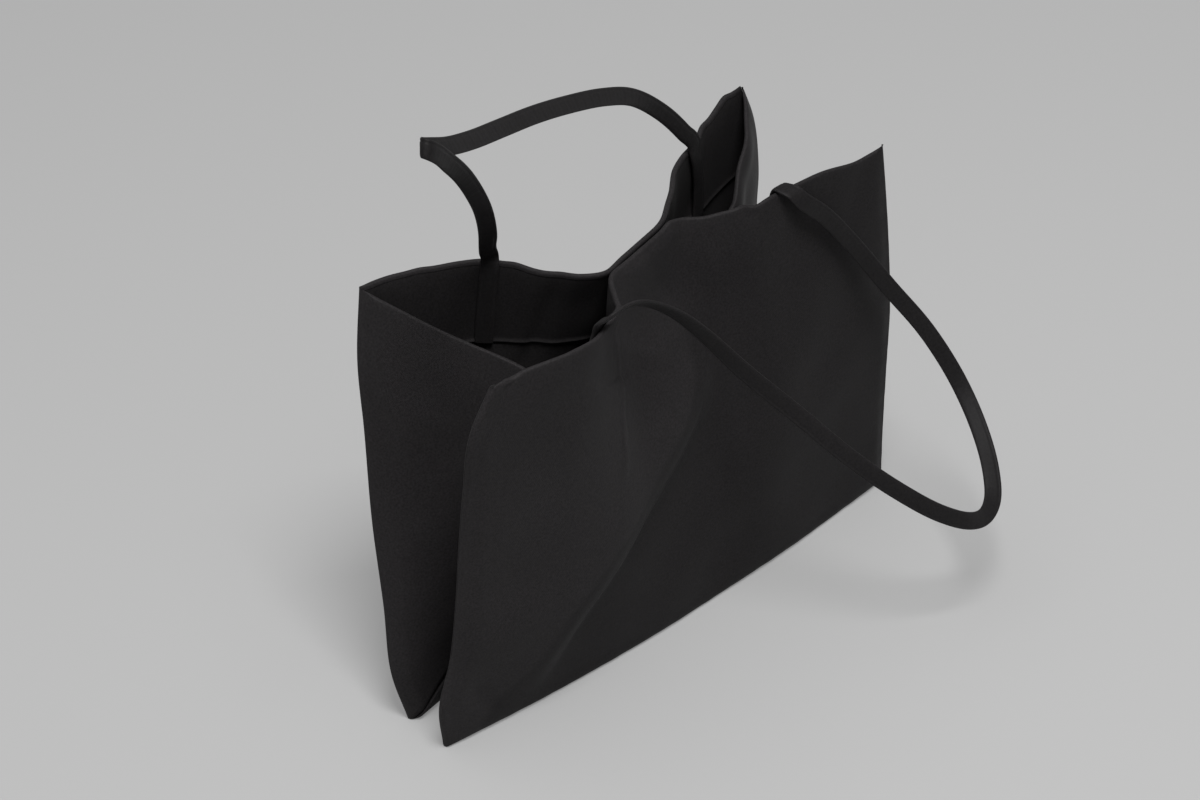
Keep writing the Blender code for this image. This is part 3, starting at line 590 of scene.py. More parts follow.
def outer_face(seam_distance, rim_distance, half, turn):
    """From minus the turn at a seam, up a quarter ellipse, to half the wall; round at the rim."""
    rise = rounded(seam_distance, edge_radius)
    return (half * rise - turn * (1 - rise)) * rounded(rim_distance, rim_radius)


def wrapped_face(seam_distance, rim_distance, half, turn):
    """The core's face, and near the rim the inner face of the whole wall, under the outer one."""
    wrap = 1 - smooth_step((rim_distance - satin_wrap) / wrap_fade)
    around = -half * rounded(seam_distance, edge_radius) * rounded(rim_distance, rim_radius)
    outer = outer_face(seam_distance, rim_distance, half, turn)
    return np.minimum(core_half + (around - core_half) * wrap, outer - skin_clear)


def inner_face(seam_distance, border_distance, half):
    """Minus half the wall, rounded off at the piece's own borders."""
    half = half * rounded(seam_distance - inset, border_radius)
    return -np.maximum(half * rounded(border_distance, facing_radius), core_half + skin_clear)


# %% [markdown]
# Every wall has the same layers: outer satin that wraps the padding and turns over the rim to
# the inside, a facing below it along the mouth, and a lining under that. At a seam the satin
# turns round the edge and meets the next wall's satin, so the edge is one soft fold.

# %% The layers of a wall
inset = 0.0010
facing_start = 1 - facing_height / bag_height
tucked_under = 0.0006
border_radius = 0.0008
facing_radius = 0.0009
ridge_height, ridge_place, ridge_spread = 0.0009, 0.0012, 0.0008
edge_mark_reach = 0.0025
panel_lining_thinner, strip_lining_thinner = 0.0009, 0.0006
lining_foot, lining_top_gap = 0.0015, 0.0003
seam_turn_start, seam_turn_fade = 0.001, 0.005
knots = {"front": ((0.0, 0.0013, 0.010), (1.0, 0.0004, 0.006)),
         "back": ((0.0, 0.0014, 0.008), (1.0, 0.0008, 0.009)),
         "left": ((1.0, 0.0012, 0.009), (0.0, 0.0010, 0.008)), "right": (), "base": ()}
seam_rows = turned(edge_radius, 10, 0.0028, 0.0038, 0.0050, 0.0070)
rim_rows = turned(rim_radius, 10, 0.0024, 0.00295, 0.0031, 0.0033, 0.0045, 0.0065)
inner_rows = inset + turned(border_radius, 6, 0.0015, 0.0040)
facing_low_rows = turned(facing_radius, 5, 0.0012, 0.0016, 0.0022, 0.0035)
facing_high_rows = satin_wrap - tucked_under + np.array([0.0, 0.0004, 0.0010, 0.0018])


def below_rim(v):
    return (1 - v) * bag_height


def above_facing_edge(v):
    return (v - facing_start) * bag_height


def floor_level(u, v, z):
    return np.where(v <= 0, 0.0, z)


def nearness(distance):
    """1 at an edge, falling to 0 within a few millimetres."""
    return np.exp(-np.maximum(distance, 0) / edge_mark_reach)


def facing_ridge(height):
    """The facing's lower edge stands proud: a bell a millimetre above the edge."""
    return ridge_height * bell(height, ridge_place, ridge_spread)


# Places (height, share across) where the front satin's painted light gives way to painted shade
painted_light_border = ((0.00, 0.05), (0.10, 0.112), (0.15, 0.162), (0.267, 0.200), (0.383, 0.288),
            (0.467, 0.400), (0.533, 0.462), (0.600, 0.525), (0.650, 0.550), (0.800, 0.560),
            (1.00, 0.48))
# Places (height, share across) of the thin painted highlight along the crease below the mouth
painted_highlight_line = ((0.64, 0.331), (0.72, 0.342), (0.78, 0.368), (0.84, 0.390), (0.91, 0.360))


def painted_fold_light(name, u, v):
    """Painted light and shade: 1 (painted light) left of the long fold, -1 (painted shade) right of
    it.

    A thin painted highlight runs along the crease below the mouth.
    """
    if name != "front":
        return 0.0
    heights, places = zip(*painted_light_border)
    beyond = smooth_step((u - np.interp(v, heights, places)) * rims[name].length / 0.008 + 0.5)
    heights, places = zip(*painted_highlight_line)
    crease_highlight = bell((u - np.interp(v, heights, places)) * rims[name].length, 0, 0.0016)
    crease_highlight = crease_highlight * smooth_step((v - 0.60) / 0.06) * (1 - smooth_step((v - 0.86) / 0.08))
    return (1 - beyond) * (1 - smooth_step((v - 0.60) / 0.25)) - beyond + 1.6 * crease_highlight


def thickened(name, start, share, width, rim_distance):
    """The start plus a bell round each knotted corner of the rim."""
    for spot, amount, size in knots[name]:
        start = start + amount * np.exp(-(((share - spot) * width)**2 + rim_distance**2) / size**2)
    return start


def core_back(u, v):
    return np.full(u.shape, -core_half)


def satin_piece(wall, across, rows, edge, level, turn_normal=None):
    """Outer satin: the outer face, and the face that wraps over the rim."""
    def outer(u, v):
        return outer_face(wall.seam(u, v), wall.rim(v), wall.half(u, v), wall.turn(u))

    def inner(u, v):
        return wrapped_face(wall.seam(u, v), wall.rim(v), wall.half(u, v), wall.turn(u))

    return shell(wall.label + "_satin", wall.surface, wall.sign, across, rows, outer, inner,
                 wall.size, edge, level, turn_normal)


def facing_piece(wall, inside, steps):
    """From the core to the wall's inner face, plus a ridge along its lower edge."""
    def face(u, v):
        height = above_facing_edge(v)
        return inner_face(wall.seam(u, v), height, wall.half(u, v, -puff / 2)) - facing_ridge(height)

    def edge(u, v):
        return np.maximum(nearness(wall.rim(v) - satin_wrap), nearness(above_facing_edge(v)))

    rows = facing_start + (1 - facing_start) * spaced(facing_height, facing_low_rows,
                                                      facing_high_rows, steps)
    return shell(wall.label + "_facing_cloth", wall.surface, wall.sign, inside, rows,
                 core_back, face, wall.size, edge)


def lining_piece(wall, inside, rows, thinner):
    """From the core to the wall's inner face, in a wall that is thinner by an amount."""
    def face(u, v):
        return inner_face(wall.seam(u, v), 1.0 + 0 * v, wall.half(u, v, -thinner))

    return shell(wall.label + "_lining_cloth", wall.surface, wall.sign, inside, rows,
                 core_back, face, wall.size, lambda u, v: nearness(wall.seam(u, v)))


# %% Build the panels
def panel_pieces(name, sign):
    width = rims[name].length

    def seam(u, v):
        return np.minimum(np.minimum(u, 1 - u) * width, v * bag_height)

    def half(u, v, more=0.0):
        reach = np.where(u < 0.5, *seam_reach[name])
        full = smooth_step(np.minimum(u, 1 - u) * width / reach) * smooth_step(
            v * bag_height / seam_width)
        extra = thickened(name, puff, u, width, below_rim(v))
        return half_wall(full, below_rim(v), extra + more)

    def edge(u, v):
        # On the front the edge mark also carries the painted light and shade across the long fold
        return np.maximum(nearness(seam(u, v)), nearness(below_rim(v))) + painted_fold_light(name, u, v)

    wall = SimpleNamespace(label=name, surface=surfaces[name], sign=sign, size=(width, bag_height),
                           seam=seam, rim=below_rim, half=half,
                           turn=lambda u: cover_turn if name == "front" else tuck_turn)
    inside = spaced(width, inner_rows, inner_rows, 180)
    satin = satin_piece(wall, spaced(width, seam_rows, seam_rows, 200),
                        spaced(bag_height, seam_rows, rim_rows, 140), edge, floor_level)
    facing = facing_piece(wall, inside, 44)
    rows = np.linspace(lining_foot / bag_height, facing_start - lining_top_gap / bag_height, 80)
    return satin, facing, lining_piece(wall, inside[::2], rows, panel_lining_thinner)


cloths = {}
for name, sign in (("front", 1), ("back", -1)):
    cloths[name] = panel_pieces(name, sign)
    print(name, [len(piece.data.polygons) for piece in cloths[name]])

# %% [markdown]
# The gussets and the base are the same wall, folded. Their outer satin shows from the sides,
# their facing and lining from above.

# %% Build the gussets and the base
def strip_pieces(name, sign):
    has_rim = name != "base"
    width, length = (0.170, bag_height) if has_rim else (0.124, 0.34)

    def seam(s, t):
        return np.minimum(s, 1 - s) * width

    def rim(t):
        return below_rim(t) if has_rim else 1.0 + 0 * t

    def half(s, t, more=0.0):
        reach = np.where(s < 0.5, *strip_reach[name])
        extra = thickened(name, puff / 2, s, width, rim(t))
        return half_wall(smooth_step(seam(s, t) / reach), rim(t), extra + more)

    def edge(s, t):
        return np.maximum(nearness(seam(s, t)), nearness(rim(t)))

    def level(s, t, z):
        return np.where((s <= 0) | (s >= 1), 0.0, z)

    def along_the_seam(s, t, normal):
        """Within a few millimetres of a seam the normal turns to the panel's level one."""
        for end, panel in ((0, "front"), (1, "back")):
            near = 1 - smooth_step((np.abs(s - end) * width - seam_turn_start) / seam_turn_fade)
            level_way = inward(panel, *seam_places[name](t))
            way = np.sign(np.sum(level_way * normal, axis=-1, keepdims=True))
            normal = unit(normal + (level_way * way - normal) * near[..., None])
        return normal

    wall = SimpleNamespace(label=name + "_gusset" if has_rim else name, surface=strips[name],
                           sign=sign, size=(width, length), seam=seam, rim=rim, half=half,
                           turn=lambda s: np.where(s < 0.5, tuck_turn, cover_turn))
    across = spaced(width, seam_rows, seam_rows, 130)
    inside = spaced(width, inner_rows, inner_rows, 120)
    if not has_rim:
        rows = np.linspace(0, 1, 150)
        satin = satin_piece(wall, across, rows, edge, level, along_the_seam)
        return satin, lining_piece(wall, inside, rows[1:-1], strip_lining_thinner)
    satin = satin_piece(wall, across, spaced(length, np.array([0.0, 0.003]), rim_rows, 120),
                        edge, None, along_the_seam)
    facing = facing_piece(wall, inside, 36)
    rows = np.linspace(0.001, facing_start - lining_top_gap / bag_height, 70)
    return satin, facing, lining_piece(wall, inside[::2], rows, strip_lining_thinner)


for name, sign in (("left", -1), ("right", 1), ("base", 1)):
    cloths[name] = strip_pieces(name, sign)
    print(name, [len(piece.data.polygons) for piece in cloths[name]])

# %% [markdown]
# A strap is one flat band of doubled satin. Each end is sewn down inside the mouth; the rest
# is a free loop. Its route is a list of given places, each with the direction across
# the band, because the band twists and folds as it falls.

# %% The straps' routes
front_loop_shares = (
    ((-0.429, -0.569, 1.029), (0.8, 0.4, -0.4)), ((-0.407, -0.590, 1.038), (0.6, 0.5, -0.6)),
    ((-0.374, -0.590, 1.041), (0.5, 0.6, -0.65)), ((-0.331, -0.578, 1.035), (0.4, 0.6, -0.7)),
    ((-0.246, -0.552, 1.002), (0.35, 0.6, -0.7)), ((-0.137, -0.562, 0.940), (0.15, 0.6, -0.75)),
    ((-0.027, -0.612, 0.851), (-0.1, 0.5, -0.8)), ((0.078, -0.775, 0.741), (-0.45, 0.3, -0.75)),
    ((0.201, -1.050, 0.621), (-0.8, 0.1, -0.6)), ((0.296, -1.337, 0.521), (-0.8, 0.1, -0.6)),
    ((0.406, -1.600, 0.430), (-0.7, 0.0, -0.7)), ((0.541, -1.775, 0.342), (-0.7, -0.1, -0.7)),
    ((0.636, -1.838, 0.298), (-0.5, -0.4, -0.8)), ((0.721, -1.825, 0.274), (0.0, -0.7, -0.7)),
    ((0.801, -1.750, 0.277), (0.5, -0.8, -0.3)), ((0.867, -1.600, 0.311), (0.8, -0.6, 0.0)),
    ((0.933, -1.362, 0.360), (0.8, -0.5, 0.2)), ((0.968, -1.113, 0.424), (0.8, -0.4, 0.4)),
    ((0.927, -0.837, 0.552), (0.8, -0.3, 0.5)), ((0.830, -0.637, 0.677), (0.8, -0.2, 0.6)),
    ((0.700, -0.500, 0.825), (0.8, -0.2, 0.6)), ((0.581, -0.435, 0.936), (0.8, -0.1, 0.6)),
    ((0.505, -0.395, 0.989), (0.9, 0.0, 0.4)), ((0.491, -0.356, 1.005), (1.0, 0.0, 0.2)),
    ((0.481, -0.304, 1.010), (1.0, 0.0, 0.1)))
back_loop_shares = (
    ((-0.450, 0.500, 1.040), (0.9, -0.3, 0.0)), ((-0.503, 0.370, 1.116), (0.7, -0.6, 0.1)),
    ((-0.601, 0.168, 1.236), (0.8, -0.6, 0.2)), ((-0.720, -0.037, 1.356), (0.8, -0.4, 0.4)),
    ((-0.836, -0.201, 1.464), (0.8, -0.2, 0.5)), ((-0.947, -0.345, 1.552), (0.7, 0.1, 0.7)),
    ((-1.026, -0.430, 1.612), (0.5, 0.3, 0.8)), ((-1.062, -0.440, 1.634), (0.4, 0.4, 0.8)),
    ((-1.066, -0.390, 1.632), (0.4, 0.4, 0.8)), ((-1.037, -0.345, 1.614), (0.3, 0.5, 0.8)),
    ((-0.987, -0.310, 1.594), (0.2, 0.6, 0.8)), ((-0.923, -0.265, 1.568), (0.1, 0.7, 0.7)),
    ((-0.784, -0.150, 1.520), (0.0, 0.7, 0.7)), ((-0.595, 0.015, 1.464), (0.0, 0.7, 0.7)),
    ((-0.387, 0.176, 1.408), (0.0, 0.7, 0.7)), ((-0.181, 0.318, 1.348), (0.1, 0.7, 0.7)),
    ((0.022, 0.442, 1.284), (0.2, 0.6, 0.8)), ((0.176, 0.523, 1.224), (0.4, 0.4, 0.8)),
    ((0.280, 0.555, 1.164), (0.7, 0.1, 0.7)), ((0.352, 0.545, 1.112), (0.8, 0.0, 0.6)),
    ((0.415, 0.540, 1.056), (0.9, 0.0, 0.3)))

sewn_depths = (0.0012, 0.012, 0.024, 0.036, 0.0495)
sewn_slant = 0.08


def sewn_points(name, sign, share):
    """Places down the facing from just below the rim, each with the direction along the rim."""
    heights = 1 - np.array(sewn_depths) / bag_height
    u = share + sewn_slant * np.array(sewn_depths) / rims[name].length
    points = plain[name](u, heights) - normals(plain[name], u, heights, sign) * strap_middle
    side = unit(plain[name](u + 0.01, heights) - plain[name](u - 0.01, heights))
    return np.hstack([points, side])


def hinge_place(name, sign, share, stub):
    """Above the rim, in line with the sewn end: the place about which the loop turns."""
    share, top = np.array(share), np.array(1.0)
    rim_point = plain[name](share, top)
    place_at = rim_point - normals(plain[name], share, top, sign) * strap_middle
    place_at[2] = rim_point[2] + stub + pivot_height
    return place_at


def leaving(axis, lean):
    """Straight up, tilted outwards about the hinge line by the lean."""
    up = np.array([0.0, 0.0, 1.0])
    return unit(up * math.cos(lean) + np.cross(axis, up) * math.sin(lean))


def strap_route(name, sign, rim_places, stubs, lean, loop_rows):
    """One line of places and across directions: up a sewn end, round the loop and down."""
    roots = [hinge_place(name, sign, share, stub) for share, stub in zip(rim_places, stubs)]
    axis = unit(roots[1] - roots[0])
    lift = leaving(axis, lean) * strap_thickness
    first = sewn_points(name, sign, rim_places[0])[::-1]
    last = sewn_points(name, sign, rim_places[1])
    start = [np.append(roots[0] + lift * 0.5 - (0, 0, stubs[0] * 0.45),
                       unit(axis + 1.5 * first[-1, 3:]))]
    end = [np.append(roots[1] + lift * 0.5, unit(axis + last[0, 3:]))]
    loop = [np.append(place(spot), unit(np.array(across))) for spot, across in loop_rows]
    return curve_through(np.vstack([first, start, loop, end, last]))


routes = {"front": strap_route("front", 1, front_strap_rim_shares, front_strap_stubs,
                               front_strap_lean, front_loop_shares),
          "back": strap_route("back", -1, back_strap_rim_shares, back_strap_stubs,
                              back_strap_lean, back_loop_shares)}
print("strap lengths", [round(routes[name].length, 3) for name in routes])

# %% [markdown]
# The band's section is two soft faces with turned edges: a flattened ring that is a little
# thicker towards its edges, with a stitch groove beside one of them. Carried along the route,
# it is a surface of two parameters, closed by a cap at each end. A strap is three lengths of
# it that meet in half-round knuckles at the hinges, because cloth bent across the hinge in
# one piece tears into a triangle at its limit.

# %% Build the straps
route_rings = 900
band_sides = 40
stitch_offset = 0.0033
stitch_spread = 0.0005
turned_edge_fade = 0.0008
probe_length = 0.0012
knuckle_steps = np.array([0.30, 0.60, 0.85, 0.97])


def band_section(steps):
    """A superellipse of the band's width and thickness, dented along one stitch line."""
    angle = np.linspace(0, 2 * np.pi, steps, endpoint=False)
    x = np.sign(np.cos(angle)) * np.abs(np.cos(angle))**0.55 * strap_width / 2
    y = np.sign(np.sin(angle)) * np.abs(np.sin(angle))**0.75 * (strap_thickness - 0.0004) / 2
    groove = (1 - 0.30 * np.exp(-((x - stitch_offset) / stitch_spread)**2)
              + 0.06 * np.abs(x) / (strap_width / 2))
    return x, y * groove


def strap_frame(route, shares):
    """Centre, across and flat directions at shares of the route."""
    here = route(shares)
    probe = probe_length / route.length
    tangent = unit(route(np.minimum(shares + probe, 1))[:, :3]
                   - route(np.maximum(shares - probe, 0))[:, :3])
    across = here[:, 3:] - tangent * np.sum(here[:, 3:] * tangent, axis=1, keepdims=True)
    across = unit(across)
    return here[:, :3], across, np.cross(tangent, across)


strap_settings = {"front": (1, front_strap_rim_shares, front_strap_stubs),
                  "back": (-1, back_strap_rim_shares, back_strap_stubs)}
strap_soft_start = 0.064
strap_softness = 0.005


def blurred(values, rings, length):
    """Each place replaced by a bell-weighted mean of its neighbours along the strap."""
    reach = int(3 * strap_softness / length * rings)
    weights = bell(np.arange(-reach, reach + 1), 0, strap_softness * 1.41 / length * rings)
    padded = np.pad(values, ((reach, reach), (0, 0)), mode="edge")
    return np.stack([np.convolve(column, weights / weights.sum(), mode="valid")
                     for column in padded.T], axis=-1)


def band(label, route, line, low, high, past_low, past_high):
    """One length of the band between two shares of its route.

    At a hinge the end runs on as a half round inside the next length, like a knuckle.
    """
    steps, rings = band_sides, int((high - low) * route_rings) + 2
    past = knuckle_steps
    reach = strap_thickness / 2 / route.length
    shares = np.linspace(low, high, rings)
    shrink = np.ones(rings)
    if past_low:
        shares = np.concatenate([low - reach * past[::-1], shares])
        shrink = np.concatenate([np.sqrt(1 - past[::-1]**2), shrink])
    if past_high:
        shares = np.concatenate([shares, high + reach * past])
        shrink = np.concatenate([shrink, np.sqrt(1 - past**2)])
    rings = len(shares)
    grid = np.linspace(0, 1, len(line[0]))
    centre, across, flat = (np.stack([np.interp(shares, grid, column) for column in values.T], -1)
                            for values in line)
    x, y = band_section(steps)
    draw = np.random.default_rng(53)
    run = shares * route.length
    ease = 1 + 0.015 * sum(np.sin(2 * np.pi * run / length + draw.uniform(0, 2 * np.pi))
                           for length in (0.0043, 0.0079, 0.0171))
    wide = 0.96 + 0.04 * shrink
    points = (centre[:, None, :] + across[:, None, :] * (x[None, :] * wide[:, None])[..., None]
              + flat[:, None, :] * (y[None, :] * (ease * shrink)[:, None])[..., None])
    index = np.arange(rings * steps).reshape(rings, steps)
    turned = np.roll(index, -1, axis=1)
    faces = np.stack([index[:-1], turned[:-1], turned[1:], index[1:]], -1).reshape(-1, 4)
    half = steps // 2
    caps = []
    for ring, flip in ((index[0], False), (index[-1], True)):
        for k in range(half - 1):
            quad = [ring[k], ring[k + 1], ring[steps - 2 - k], ring[steps - 1 - k]]
            caps.append(quad if flip else quad[::-1])
    faces = np.concatenate([faces, np.array(caps)])[:, ::-1]
    uv = np.stack([np.repeat(run, steps), np.tile(x, rings)], -1)
    # Lighter towards the turned edges: partly rubbed wear, partly painted highlight
    edge = np.tile(np.exp(-(strap_width / 2 - np.abs(x)) / turned_edge_fade), rings)
    return add_mesh(label, points.reshape(-1, 3), faces, uv, edge)


def build_strap(name):
    """The free loop and its two sewn ends, cut where the route passes the hinge."""
    route = routes[name]
    rings = route_rings
    shares = np.linspace(0, 1, rings)
    centre, across, flat = strap_frame(route, shares)
    near_end = np.minimum(shares, 1 - shares) * route.length
    soft = smooth_step((near_end - strap_soft_start) / 0.015)[:, None]
    centre, across, flat = (values + (blurred(values, rings, route.length) - values) * soft
                            for values in (centre, across, flat))
    line = centre, unit(across), unit(flat)
    sign, places, stubs = strap_settings[name]
    gaps = [np.linalg.norm(centre - hinge_place(name, sign, share, stub), axis=1)
            for share, stub in zip(places, stubs)]
    low = shares[gaps[0][:rings // 2].argmin()]
    high = shares[rings // 2 + gaps[1][rings // 2:].argmin()]
    return (band(name + "_strap_cloth", route, line, low, high, True, True),
            band(name + "_strap_left_sewn", route, line, 0.0, low, False, True),
            band(name + "_strap_right_sewn", route, line, high, 1.0, True, False))


straps = {name: build_strap(name) for name in routes}

# %% [markdown]
# Finishes. This black satin looks mostly matte: a very dark base with a weak broad highlight,
# and a fine weave and grain that break it up. The groups below are built once and used by
# each cloth with its own values.

# %% Shared shader groups
def new_group(name, inputs, outputs):
    group = bpy.data.node_groups.new(name, "ShaderNodeTree")
    for label, kind, value in inputs:
        socket = group.interface.new_socket(label, in_out="INPUT", socket_type=kind)
        if value is not None:
            socket.default_value = value
    for label, kind in outputs:
        group.interface.new_socket(label, in_out="OUTPUT", socket_type=kind)
    return group, group.nodes.new("NodeGroupInput"), group.nodes.new("NodeGroupOutput")


def add_node(tree, kind, **settings):
    node = tree.nodes.new(kind)
    for key, value in settings.items():
        if key.startswith("in_"):
            node.inputs[int(key[3:])].default_value = value
        else:
            setattr(node, key, value)
    return node


def math_node(tree, operation, first, second):
    """A Math node whose two values are sockets or numbers."""
    node = tree.nodes.new("ShaderNodeMath")
    node.operation = operation
    for socket, value in zip(node.inputs, (first, second)):
        if isinstance(value, bpy.types.NodeSocket):
            tree.links.new(value, socket)
        else:
            socket.default_value = value
    return node.outputs[0]


def weave_group():
    """Height of a satin weave: long floats along one way, broken by short ties."""
    group, enter, leave = new_group(
        "satin_weave",
        [("Vector", "NodeSocketVector", None), ("Threads", "NodeSocketFloat", 2600.0)],
        [("Height", "NodeSocketFloat")])
    split = add_node(group, "ShaderNodeSeparateXYZ")
    group.links.new(enter.outputs["Vector"], split.inputs[0])
    across = math_node(group, "MULTIPLY", split.outputs[0], enter.outputs["Threads"])
    along = math_node(group, "MULTIPLY", split.outputs[1], enter.outputs["Threads"])
    warp = math_node(group, "SINE", math_node(group, "MULTIPLY", across, 2 * math.pi), 0.0)
    slow = math_node(group, "MULTIPLY", along, 2 * math.pi / 5)
    tie = math_node(group, "SINE", math_node(group, "ADD", slow, math_node(
        group, "MULTIPLY", across, 2 * math.pi * 2 / 5)), 0.0)
    total = math_node(group, "ADD", math_node(group, "MULTIPLY", warp, 0.6),
                      math_node(group, "MULTIPLY", tie, 0.4))
    group.links.new(total, leave.inputs["Height"])
    return group


def handling_group():
    """Broad uneven patches that cloth gets from handling, as a value round 1."""
    group, enter, leave = new_group(
        "cloth_handling", [("Vector", "NodeSocketVector", None), ("Size", "NodeSocketFloat", 22.0),
                           ("Strength", "NodeSocketFloat", 0.2)],
        [("Value", "NodeSocketFloat")])
    noise = add_node(group, "ShaderNodeTexNoise", in_3=4.0, in_4=0.55)
    group.links.new(enter.outputs["Vector"], noise.inputs["Vector"])
    group.links.new(enter.outputs["Size"], noise.inputs["Scale"])
    centred = math_node(group, "SUBTRACT", noise.outputs["Fac"], 0.5)
    scaled = math_node(group, "MULTIPLY", centred, enter.outputs["Strength"])
    group.links.new(math_node(group, "ADD", scaled, 1.0), leave.inputs["Value"])
    return group


weave = weave_group()
handling = handling_group()

# %% [markdown]
# One function makes each cloth. Colour, roughness and the weave's depth are its values. The
# edge mark lifts the colour where cloth is turned, partly as rubbed wear and partly as a painted
# highlight. On the front panel it also carries painted light on one side of the long fold,
# painted shade on the other, and a painted highlight along the crease below the mouth.

# %% Cloth and metal finishes
def new_material(name):
    """A node material, its tree and its shader."""
    made = bpy.data.materials.new(name)
    made.use_nodes = True
    return made, made.node_tree, made.node_tree.nodes["Principled BSDF"]


def cloth_material(name, colour, roughness, weave_depth, threads, edge_wear_and_highlight, specular):
    made, tree, shader = new_material(name)
    shader.inputs["Specular IOR Level"].default_value = specular
    shader.inputs["Sheen Weight"].default_value = 0.01
    shader.inputs["Sheen Roughness"].default_value = 0.45
    uv = add_node(tree, "ShaderNodeUVMap", uv_map="cloth")
    where = add_node(tree, "ShaderNodeTexCoord")
    patch = add_node(tree, "ShaderNodeGroup", node_tree=handling)
    tree.links.new(where.outputs["Object"], patch.inputs["Vector"])
    patch.inputs["Size"].default_value = 24.0
    patch.inputs["Strength"].default_value = 0.30
    fine = add_node(tree, "ShaderNodeGroup", node_tree=handling)
    tree.links.new(where.outputs["Object"], fine.inputs["Vector"])
    fine.inputs["Size"].default_value = 900.0
    fine.inputs["Strength"].default_value = 1.3
    # The edge mark lightens turned edges: partly rubbed wear, partly painted highlight
    mark = add_node(tree, "ShaderNodeAttribute", attribute_name="edge")
    lift = math_node(tree, "ADD", math_node(tree, "MULTIPLY", mark.outputs["Fac"], edge_wear_and_highlight), 1.0)
    total = math_node(tree, "MULTIPLY", math_node(
        tree, "MULTIPLY", patch.outputs["Value"], fine.outputs["Value"]), lift)
    tint = add_node(tree, "ShaderNodeMix", data_type="RGBA", blend_type="MULTIPLY")
    tint.inputs["Factor"].default_value = 1.0
    tint.inputs["A"].default_value = (*colour, 1.0)
    grey = add_node(tree, "ShaderNodeCombineColor")
    for socket in grey.inputs:
        tree.links.new(total, socket)
    tree.links.new(grey.outputs[0], tint.inputs["B"])
    tree.links.new(tint.outputs["Result"], shader.inputs["Base Color"])
    rough = math_node(tree, "MULTIPLY", patch.outputs["Value"], roughness)
    tree.links.new(rough, shader.inputs["Roughness"])
    woven = add_node(tree, "ShaderNodeGroup", node_tree=weave)
    tree.links.new(uv.outputs["UV"], woven.inputs["Vector"])
    woven.inputs["Threads"].default_value = threads
    bump = add_node(tree, "ShaderNodeBump")
    bump.inputs["Strength"].default_value = 0.35
    bump.inputs["Distance"].default_value = weave_depth
    tree.links.new(woven.outputs["Height"], bump.inputs["Height"])
    tree.links.new(bump.outputs["Normal"], shader.inputs["Normal"])
    return made


finishes = {
    "satin": cloth_material("black_satin", (0.0178, 0.0165, 0.0172), 0.55, 0.00004, 2600,
                            0.14, 0.06),
    # The facing is the outer satin made darker: painted shade inside the mouth
    "facing": cloth_material("facing_satin", (0.0128, 0.0119, 0.0123), 0.60, 0.00004, 2600,
                             0.2, 0.06),
    "lining": cloth_material("lining_cloth", (0.0175, 0.0162, 0.0168), 0.70, 0.00003, 2000,
                             0.3, 0.06),
    "strap": cloth_material("strap_satin", (0.0112, 0.0104, 0.0108), 0.50, 0.00004, 2600,
                            0.3, 0.08)}


def metal_material(name, colour, roughness):
    made, tree, shader = new_material(name)
    shader.inputs["Metallic"].default_value = 1.0
    shader.inputs["Base Color"].default_value = (*colour, 1.0)
    where = add_node(tree, "ShaderNodeTexCoord")
    scuff = add_node(tree, "ShaderNodeGroup", node_tree=handling)
    tree.links.new(where.outputs["Object"], scuff.inputs["Vector"])
    scuff.inputs["Size"].default_value = 1500.0
    scuff.inputs["Strength"].default_value = 0.8
    tree.links.new(math_node(tree, "MULTIPLY", scuff.outputs["Value"], roughness),
                   shader.inputs["Roughness"])
    return made


snap_metal = metal_material("snap_steel_finish", (0.45, 0.45, 0.46), 0.30)
magnet_metal = metal_material("magnet_finish", (0.14, 0.14, 0.15), 0.50)

# %% [markdown]
# Each cloth takes its finish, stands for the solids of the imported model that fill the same
# space, and rides on the body that carries it. A strap's loop rides on its own body, and its
# two sewn ends ride on the bag.

# %% Dress, replace and ride
def dress(piece, finish, slot_name):
    piece.data.materials.append(finishes[finish])


def dress_wall(pieces, outer_node, prefix):
    """The satin stands for the outer skin and its wadding, each inner cloth for its own."""
    layers = ("satin", "facing", "lining") if len(pieces) == 3 else ("satin", "lining")
    for piece, layer in zip(pieces, layers):
        dress(piece, layer, layer)
        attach(piece, "bag")
        if layer == "satin":
            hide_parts(outer_node, prefix + "_wadding")
        else:
            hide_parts(prefix + "_" + layer)


for name, outer_node, prefix in (
        ("front", "front_panel", "front"), ("back", "back_panel", "back"),
        ("left", "left_gusset", "left_gusset"), ("right", "right_gusset", "right_gusset"),
        ("base", "base_gusset", "base")):
    dress_wall(cloths[name], outer_node, prefix)

for name in ("front", "back"):
    for piece, node_name, body in zip(
            straps[name], (name + "_strap", name + "_strap_left_end", name + "_strap_right_end"),
            (name + "_strap", "bag", "bag")):
        dress(piece, "strap", "strap_satin")
        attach(piece, body)
        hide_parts(node_name)

for node_name in ("snap_stud", "snap_cup", "snap_rivet", "front_snap_washer", "back_snap_washer",
                  "snap_magnet"):
    node = frame["nodes"][node_name]
    node.data.materials.clear()
    node.data.materials.append(magnet_metal if node_name == "snap_magnet" else snap_metal)

# %% [markdown]
# The stage: a pale floor that gets slightly darker towards the back, a broad soft light
# overhead, a smaller key light in front, a room that fills the shadows, and a camera with a
# long lens at the photograph's angle.

# %% Floor, light and camera
floor_grey = 0.457
floor_glow = 0.4
# The floor's colour grows darker towards the back: a painted light falloff
floor_painted_falloff = 0.07


